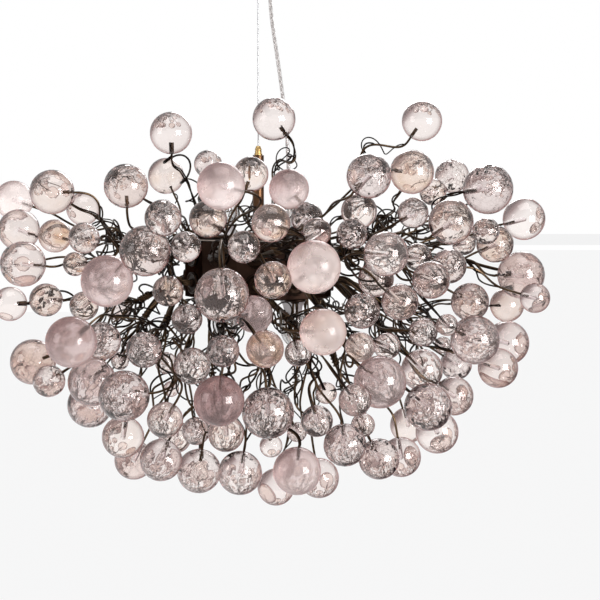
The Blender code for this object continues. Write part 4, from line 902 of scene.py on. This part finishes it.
def resin():
    """Clear cast resin with a smoky tint, cloudier where the haze attribute is high, tan where amber is, and
    shattered in places where crackle is: there each cell of a pattern tilts the surface its own way, between
    dark seams. It has a painted dark mauve rim, which stands in for the dark room that clear resin shows at
    its edge, small flow marks just under the skin, and a shadow that lets most light through. On cloudy balls
    the tint attribute also holds painted shade towards the upper left in the picture. Up to half of a cloudy
    ball's look is milk: a quarter of it scatters at the skin, and the rest lets the light behind the ball glow
    through."""
    material, add = start_material("clear_resin")
    haze, tint, crackle, amber = (add("Attribute", attribute_name=key).outputs["Fac"]
                                  for key in ("haze", "tint", "crackle", "amber"))
    place = add("TexCoord").outputs["Object"]
    cloud = product(add, noisy(add, 45, 0.55, 1.0), haze)
    broken = product(add, noisy(add, 42, -0.5, 1.7, 1.0), crackle, use_clamp=True)
    # tint holds each ball's own depth of tint and, on cloudy balls, painted shade towards the upper left
    pale = mixed(add, tint, (0.995, 0.925, 0.895), (0.44, 0.295, 0.29))
    tan = mixed(add, product(add, noisy(add, 55, -0.3, 1.3, 1.0), amber), pale, (0.74, 0.50, 0.33))

    # The shards: cells whose edges wander a little, with a seam along each edge
    stir = add("TexNoise", Scale=160.0, Detail=1.0, Vector=place)
    stirred = add("VectorMath", {0: stir.outputs["Color"], 1: (0.006, 0.006, 0.006), 2: place},
                  operation="MULTIPLY_ADD").outputs["Vector"]
    edge = add("TexVoronoi", feature="DISTANCE_TO_EDGE", Scale=250.0, Vector=stirred)
    seam = product(add, mapped(add, edge.outputs["Distance"], 0.02, 0.12, 1.0, 0.0), broken, use_clamp=True)
    cell = add("TexVoronoi", Scale=250.0, Vector=stirred)
    tilt = add("VectorMath", {0: cell.outputs["Color"], 1: (0.5, 0.5, 0.5)}, operation="SUBTRACT")
    plane = add("VectorMath", {0: tilt.outputs["Vector"], 1: place}, operation="DOT_PRODUCT")
    flow = add("Bump", Strength=0.05, Distance=0.0006, Height=noisy(add, 110, 0.0, 1.0, 2.0))
    cracked = add("Bump", Strength=broken, Distance=1.6, Height=plane.outputs["Value"], Normal=flow.outputs[0])

    # A painted dark mauve rim, in place of the dark room that clear resin shows at its edge
    tone = painted_dark_rim(add, mixed(add, seam, tan, (0.30, 0.18, 0.16)), (0.130, 0.024, 0.020), 0.35, 0.72)
    shader = add("BsdfPrincipled", {"Base Color": tone, "Specular Tint": (1.0, 0.86, 0.84, 1),
                                    "Transmission Weight": 1.0, "Coat Weight": 0.4, "Coat Roughness": 0.03},
                 IOR=1.49, Roughness=product(add, cloud, 0.42), Normal=cracked.outputs[0])
    milk = blended(add, 0.25, add("BsdfTranslucent", Color=tan), add("BsdfDiffuse", Color=tan))
    let_light_through(add, blended(add, product(add, cloud, 0.5), shader, milk), (0.90, 0.85, 0.85))
    return material


def drilled_ball(radius, bore, depth, sides, rows):
    """A ball round the origin, open at the top to a drilled hole: the profile runs from the pole opposite the
    hole over the sphere to the hole's rim and down the hole to its cone. The faces come as skin and bore."""
    lift = math.asin(bore / radius)
    angle = np.linspace(0, math.pi - lift, rows)
    profile = [(max(radius * math.sin(a), radius * 0.002), -radius * math.cos(a)) for a in angle]
    profile += [(bore * 0.96, radius * math.cos(lift) - 0.5 * MM), (bore * 0.94, radius - depth),
                (bore * 0.06, radius - depth - bore * 0.5)]
    points, (quads, low_cap, end_cap), _ = lathe(profile, sides)
    skin = (rows - 1) * sides
    return points, (quads[:skin], low_cap), (quads[skin:], end_cap)


# How cloudy, how deeply tinted, how shattered and how tan the balls are that the photograph shows best
BALL_LOOKS = {
    (221, 186): (0.75, 0.38, 0, 0), (289, 189): (0.7, 0.5, 0, 0), (314, 267): (0.85, 0.06, 0, 0.12),
    (323, 332): (0.9, 0.0, 0, 0.25), (71, 342): (0.6, 0.62, 0, 0), (107, 281): (0.6, 0.55, 0, 0),
    (219, 401): (0.5, 0.95, 0, 0), (380, 382): (0.3, 0.45, 0.2, 0), (265, 349): (0.35, 0.4, 0, 1.0),
    (297, 471): (0.55, 0.4, 0, 0), (254, 314): (0.6, 0.55, 0, 0), (222, 295): (0, 0.3, 0.2, 0.2),
    (145, 251): (0, 0.3, 0.2, 0.2), (268, 413): (0, 0.25, 0.6, 0), (475, 340): (0.1, 0.25, 0.4, 0),
    (171, 133): (0, 0.15, 0, 0), (274, 119): (0, 0.1, 0.15, 0), (422, 121): (0, 0.1, 0, 0),
    (524, 219): (0, 0.0, 0, 0), (488, 189): (0, 0.35, 0.35, 0), (126, 186): (0, 0.3, 0.25, 0.25),
    (345, 445): (0, 0.28, 0.35, 0), (240, 473): (0, 0.1, 0.3, 0), (161, 460): (0, 0.25, 0.35, 0),
    (199, 471): (0, 0.1, 0.25, 0), (386, 254): (0.1, 0.0, 0.15, 0), (451, 222): (0, 0.15, 0.25, 0.4),
    (52, 192): (0, 0.15, 0.15, 0.3), (521, 275): (0, 0.35, 0.3, 0.1), (55, 236): (0.2, 0.2, 0, 1.0),
    (14, 200): (0.6, 0.05, 0, 0), (412, 172): (0.1, 0.1, 0.1, 0.65), (23, 264): (0, 0.2, 0.3, 0.1),
    (369, 176): (0, 0.3, 0.55, 0), (124, 396): (0, 0.35, 0.4, 0), (428, 407): (0, 0.25, 0.55, 0),
    (144, 350): (0, 0.2, 0.7, 0), (102, 341): (0, 0.25, 0.6, 0), (352, 234): (0, 0.2, 0.7, 0),
    (75, 264): (0, 0.1, 0.7, 0.6), (271, 223): (0.1, 0.2, 0.15, 0.8), (208, 219): (0, 0.2, 0.2, 0.8),
    (273, 280): (0, 0.2, 0.2, 0.9), (244, 247): (0, 0.1, 0.7, 0), (168, 291): (0, 0.25, 0.2, 0.7),
    (84, 306): (0, 0.1, 0.3, 0.5), (46, 300): (0, 0.15, 0.2, 0.5), (495, 244): (0, 0.15, 0.3, 0.5),
    (360, 347): (0.3, 0.1, 0.1, 0.6), (19, 230): (0, 0.15, 0.1, 0.2), (379, 459): (0, 0.25, 0.25, 0.1),
    (401, 457): (0, 0.15, 0, 0), (319, 478): (0, 0.15, 0, 0), (276, 487): (0, 0.1, 0, 0),
    (134, 460): (0, 0.15, 0, 0), (92, 382): (0.15, 0.4, 0.15, 0), (90, 405): (0, 0.35, 0.2, 0),
    (223, 351): (0, 0.3, 0.65, 0), (187, 319): (0, 0.3, 0.6, 0), (431, 280): (0, 0.35, 0.35, 0.2),
    (400, 302): (0, 0.3, 0.4, 0.3), (470, 302): (0, 0.35, 0.4, 0.3), (413, 213): (0, 0.2, 0.5, 0),
}
seen_balls = [ball[:2] for balls, _ in BALL_LAYERS[:SEEN_LAYERS] for ball in balls]
# The way in which the wire enters the balls that show it: degrees from the right, in the picture
WIRE_ENTRIES = {(171, 133): -90, (274, 119): -50, (422, 121): -125, (126, 186): -90, (52, 192): 0, (221, 186): -12,
                (289, 189): -48, (412, 172): 172, (488, 189): 185, (271, 223): -20, (208, 219): -38, (222, 295): 95,
                (273, 280): 118, (314, 267): -140, (323, 332): 178, (265, 349): 125, (107, 281): 50, (23, 264): -5,
                (71, 342): 45, (124, 396): 5, (380, 382): 140, (475, 340): 150, (521, 275): 180, (451, 222): -145,
                (369, 176): -135, (345, 445): 100, (379, 459): 115, (297, 471): 85, (240, 473): 80, (161, 460): 70,
                (165, 420): 60, (219, 401): 85, (268, 413): 95, (428, 407): 140, (19, 230): -20}
resin_finish = resin()
# The bore's second colour is its painted dark rim
bore_finish = clear_solid("drilled_bore", (0.90, 0.86, 0.88), (0.05, 0.04, 0.045), 0.2, 1.49)
wire_bronze = worn_metal("wire_bronze", (0.014, 0.009, 0.006), (0.100, 0.064, 0.036), 0.26, 0.42, 60)
wire_black = worn_metal("wire_black", (0.006, 0.004, 0.004), (0.026, 0.017, 0.012), 0.28, 0.44, 90)
washer_bronze = worn_metal("washer_bronze", (0.008, 0.005, 0.004), (0.030, 0.018, 0.012), 0.26, 0.42, 120)
washer = rounded([(0.05, 0.3), (10.8, 0.0), (11.6, 0.4, 0.3), (11.6, 2.2, 0.5), (10.6, 2.9, 0.4), (9.6, 2.2, 0.4),
                  (8.6, 1.5, 0.6), (4.8, 1.5, 0.3), (4.5, 5.0, 0.9), (0.05, 5.0)], 0.4)
dish, dish_faces, _ = lathe(washer, 32)
points, chains = route(ball_places, ball_radii, sprays)
rng = np.random.default_rng(7)
LINE_STEPS = 60
WHOLE_STEPS = 100


def name_of(ball):
    """A seen ball's pixel, by which the tables know it."""
    return seen_balls[ball] if ball < len(seen_balls) else None


def entries(balls, tips):
    """The way out of each ball to its wire: where the photograph shows it, or else where the route ends."""
    outward = (tips - ball_places[balls]) / ball_radii[balls][:, None]
    for row, ball in enumerate(balls):
        if name_of(ball) in WIRE_ENTRIES:
            entry = math.radians(WIRE_ENTRIES[name_of(ball)])
            outward[row] = math.cos(entry) * SIGHT_RIGHT + math.sin(entry) * SIGHT_UP + 0.4 * SIGHT_FORWARD
            outward[row] /= np.linalg.norm(outward[row])
    return outward


def wire_lines(knots, first, second, on_skin, outward):
    """Each wire's line from the knot to its ball's skin. It meets the skin straight, turns in a wide bend where it
    comes from the ball's other side, and drifts a little from its route in between."""
    near_skin = on_skin + outward * np.minimum(11 * MM, np.linalg.norm(second - on_skin, axis=1)[:, None] * 0.5)
    homeward = first - near_skin
    way = np.linalg.norm(homeward, axis=1)[:, None]
    bend = outward + homeward / way
    bend /= np.maximum(np.linalg.norm(bend, axis=1)[:, None], 0.3)
    turns_back = (outward * homeward).sum(1)[:, None] < 0.8 * way
    second = np.where(turns_back, near_skin + bend * np.minimum(18 * MM, way * 0.4), second)
    line = evened(curve_through(np.stack([knots, first, second, near_skin, on_skin], 1), 90), LINE_STEPS)
    along = np.linspace(0, 1, LINE_STEPS)[None, :, None]
    swing = np.sin(np.pi * np.clip(along / 0.82, 0, 1)) ** 1.1
    drift = sum(rng.normal(size=(len(line), 1, 3)) * size
                * np.sin(math.tau * (turn * along + rng.random((len(line), 1, 1))))
                for turn, size in ((0.8, 10.0 * MM), (1.6, 4.5 * MM)))
    return kept_clear(line + drift * swing, 2.2 * MM)


def strand_blocks(stalk, whole):
    """The wires from the washer into their balls, as (their lines, their tubes). On the stalk they wind round
    each other, and about half of them are two strands, loosely laid."""
    count = len(whole)
    at = np.linspace(0, 1, WHOLE_STEPS)[None, :, None]
    stalk_share = run_of(stalk)[0, -1] / run_of(whole)[:, -1][:, None, None]
    leave = np.clip((at - stalk_share * 0.8) / 0.25, 0, 1)
    phase = math.tau * (np.arange(count) / count) + rng.random() * 6
    wound = (2.1 * MM if count > 1 else 0.2 * MM) * (1 - leave * leave * (3 - 2 * leave))
    whole = twisted(whole, wound, 95 * MM, phase)
    paired = rng.random(count) < 0.5
    loose = 0.86 * MM + rng.uniform(0.0, 1.0, (count, 1, 1)) * MM * np.sin(np.pi * np.clip(at / 0.9, 0, 1)) ** 2
    pitch = rng.uniform(80, 170, (count, 1)) * MM
    strands = [twisted(whole, loose * paired[:, None, None], pitch, phase * 2 + turn) for turn in (0, math.pi)]
    blocks = [tubes(strands[0], np.where(paired, 0.95, 1.2)[:, None] * MM, 7)]
    if paired.any():
        blocks.append(tubes(strands[1][paired], 0.9 * MM, 6, number=1))
    return whole, blocks


def curl_block(whole, curls):
    """Thin wires, each loosely wound for a stretch round one of the given lines."""
    which = rng.permutation(np.resize(np.arange(len(whole)), curls))
    steps = np.linspace(0, 1, 90)
    begin = rng.integers(18, 54, curls)
    reach = begin + rng.integers(24, 44, curls)
    picked = np.stack([np.stack([np.interp(steps, np.linspace(0, 1, end - start), whole[one, start:end, axis])
                                 for axis in range(3)], 1) for one, start, end in zip(which, begin, reach)])
    loops = np.sin(np.pi * steps)[None, :, None] ** 0.8 * rng.uniform(7, 16, (curls, 1, 1)) * MM
    pitch = (run_of(picked)[:, -1] / rng.uniform(0.7, 1.6, curls))[:, None]
    curl = kept_clear(twisted(picked, loops, pitch, rng.random(curls) * 6), 1.5 * MM)
    return tubes(curl, rng.choice([0.7, 0.9, 1.1], (curls, 1)) * MM, 5, number=1)


def ball_look(ball, from_middle):
    """A ball's haze, tint, crackle and amber at each of its points. On a cloudy ball the tint holds painted shade:
    deeper on the side that is up and to the left in the picture, and lighter on the other side."""
    radius = ball_radii[ball]
    cracks = rng.uniform(0.2, 0.7) if rng.random() < (0.75 if radius < 21 * MM else 0.35) else 0.0
    chance = (0.0, 0.02 + 0.26 * rng.random() ** 1.5, cracks, 0.4 * rng.random() ** 2)
    look = np.repeat([BALL_LOOKS.get(name_of(ball), chance)], len(from_middle), 0)
    # Painted shade: the tint deepens towards the upper left in the picture and lightens towards the lower right
    painted_shade_side = from_middle @ (SIGHT_UP - 0.8 * SIGHT_RIGHT) / (1.3 * radius)
    look[:, 1] = np.clip(look[:, 1] + look[:, 0] * (0.75 * painted_shade_side + 0.15 * painted_shade_side ** 2), 0, 1.4)
    return look


for number, (name, foot, normal, balls) in enumerate(sprays):
    stalk_chain, *wire_chains = [chain for owner, _, chain, _ in chains if owner == number]
    stalk = evened(curve_through(points[stalk_chain][None], 60), 26)
    knots, first, second, tips = (points[[chain[k] for chain in wire_chains]] for k in range(4))
    outward = entries(balls, tips)
    reaches = ball_radii[balls][:, None]
    on_skin = ball_places[balls] + outward * reaches
    line = wire_lines(knots, first, second, on_skin, outward)
    depths = np.array([0.9, 0.6, 0.3])[None, :, None]
    inside = ball_places[balls][:, None] + (outward * reaches)[:, None] * depths
    whole = evened(np.concatenate([np.repeat(stalk[:, :-1], len(balls), 0), line, inside], 1), WHOLE_STEPS)
    whole, blocks = strand_blocks(stalk, whole)
    if len(balls) > 1:
        knot = stalk[:, -1]
        tie = knot + (stalk[:, -5] - knot) * np.linspace(-0.1, 1.0, 60)[None, :, None]
        blocks.append(tubes(twisted(tie, 3.5 * MM, np.linalg.norm(tie[0, 0] - tie[0, -1]) / 3.3), 0.7 * MM, 6))
    curls = {"spray_up": 8, "spray_lo": 6, "spray_un": 4}.get(name[:8], 2)
    blocks.append(curl_block(whole, curls))
    blocks.append((turned_to(dish, normal) + foot, dish_faces, 2))
    blocks = [(block.reshape(-1, 3) + HUB, faces, finish) for block, faces, finish in blocks]
    piece(f"wires_{name}", blocks, "crown", [wire_bronze, wire_black, washer_bronze], [name],
          sharp=50)
    # A block without points stands on the next ball's: each bore is the next ball's, and the first ball has none
    beads, looks = [], []
    for ball, away in zip(balls, outward):
        bead, skin, bore = drilled_ball(ball_radii[ball], 1.9 * MM, ball_radii[ball] + 1 * MM, 32, 18)
        bead = turned_to(bead, away)
        beads += [(bead + ball_places[ball] + HUB, skin, 0), (bead[:0], bore, 1)]
        looks.append(ball_look(ball, bead))
    beads.pop()
    looks = dict(zip(("haze", "tint", "crackle", "amber"), np.concatenate(looks).T))
    piece(f"balls_{name}", beads, "crown", [resin_finish, bore_finish], [name], sharp=60,
          attributes=looks)
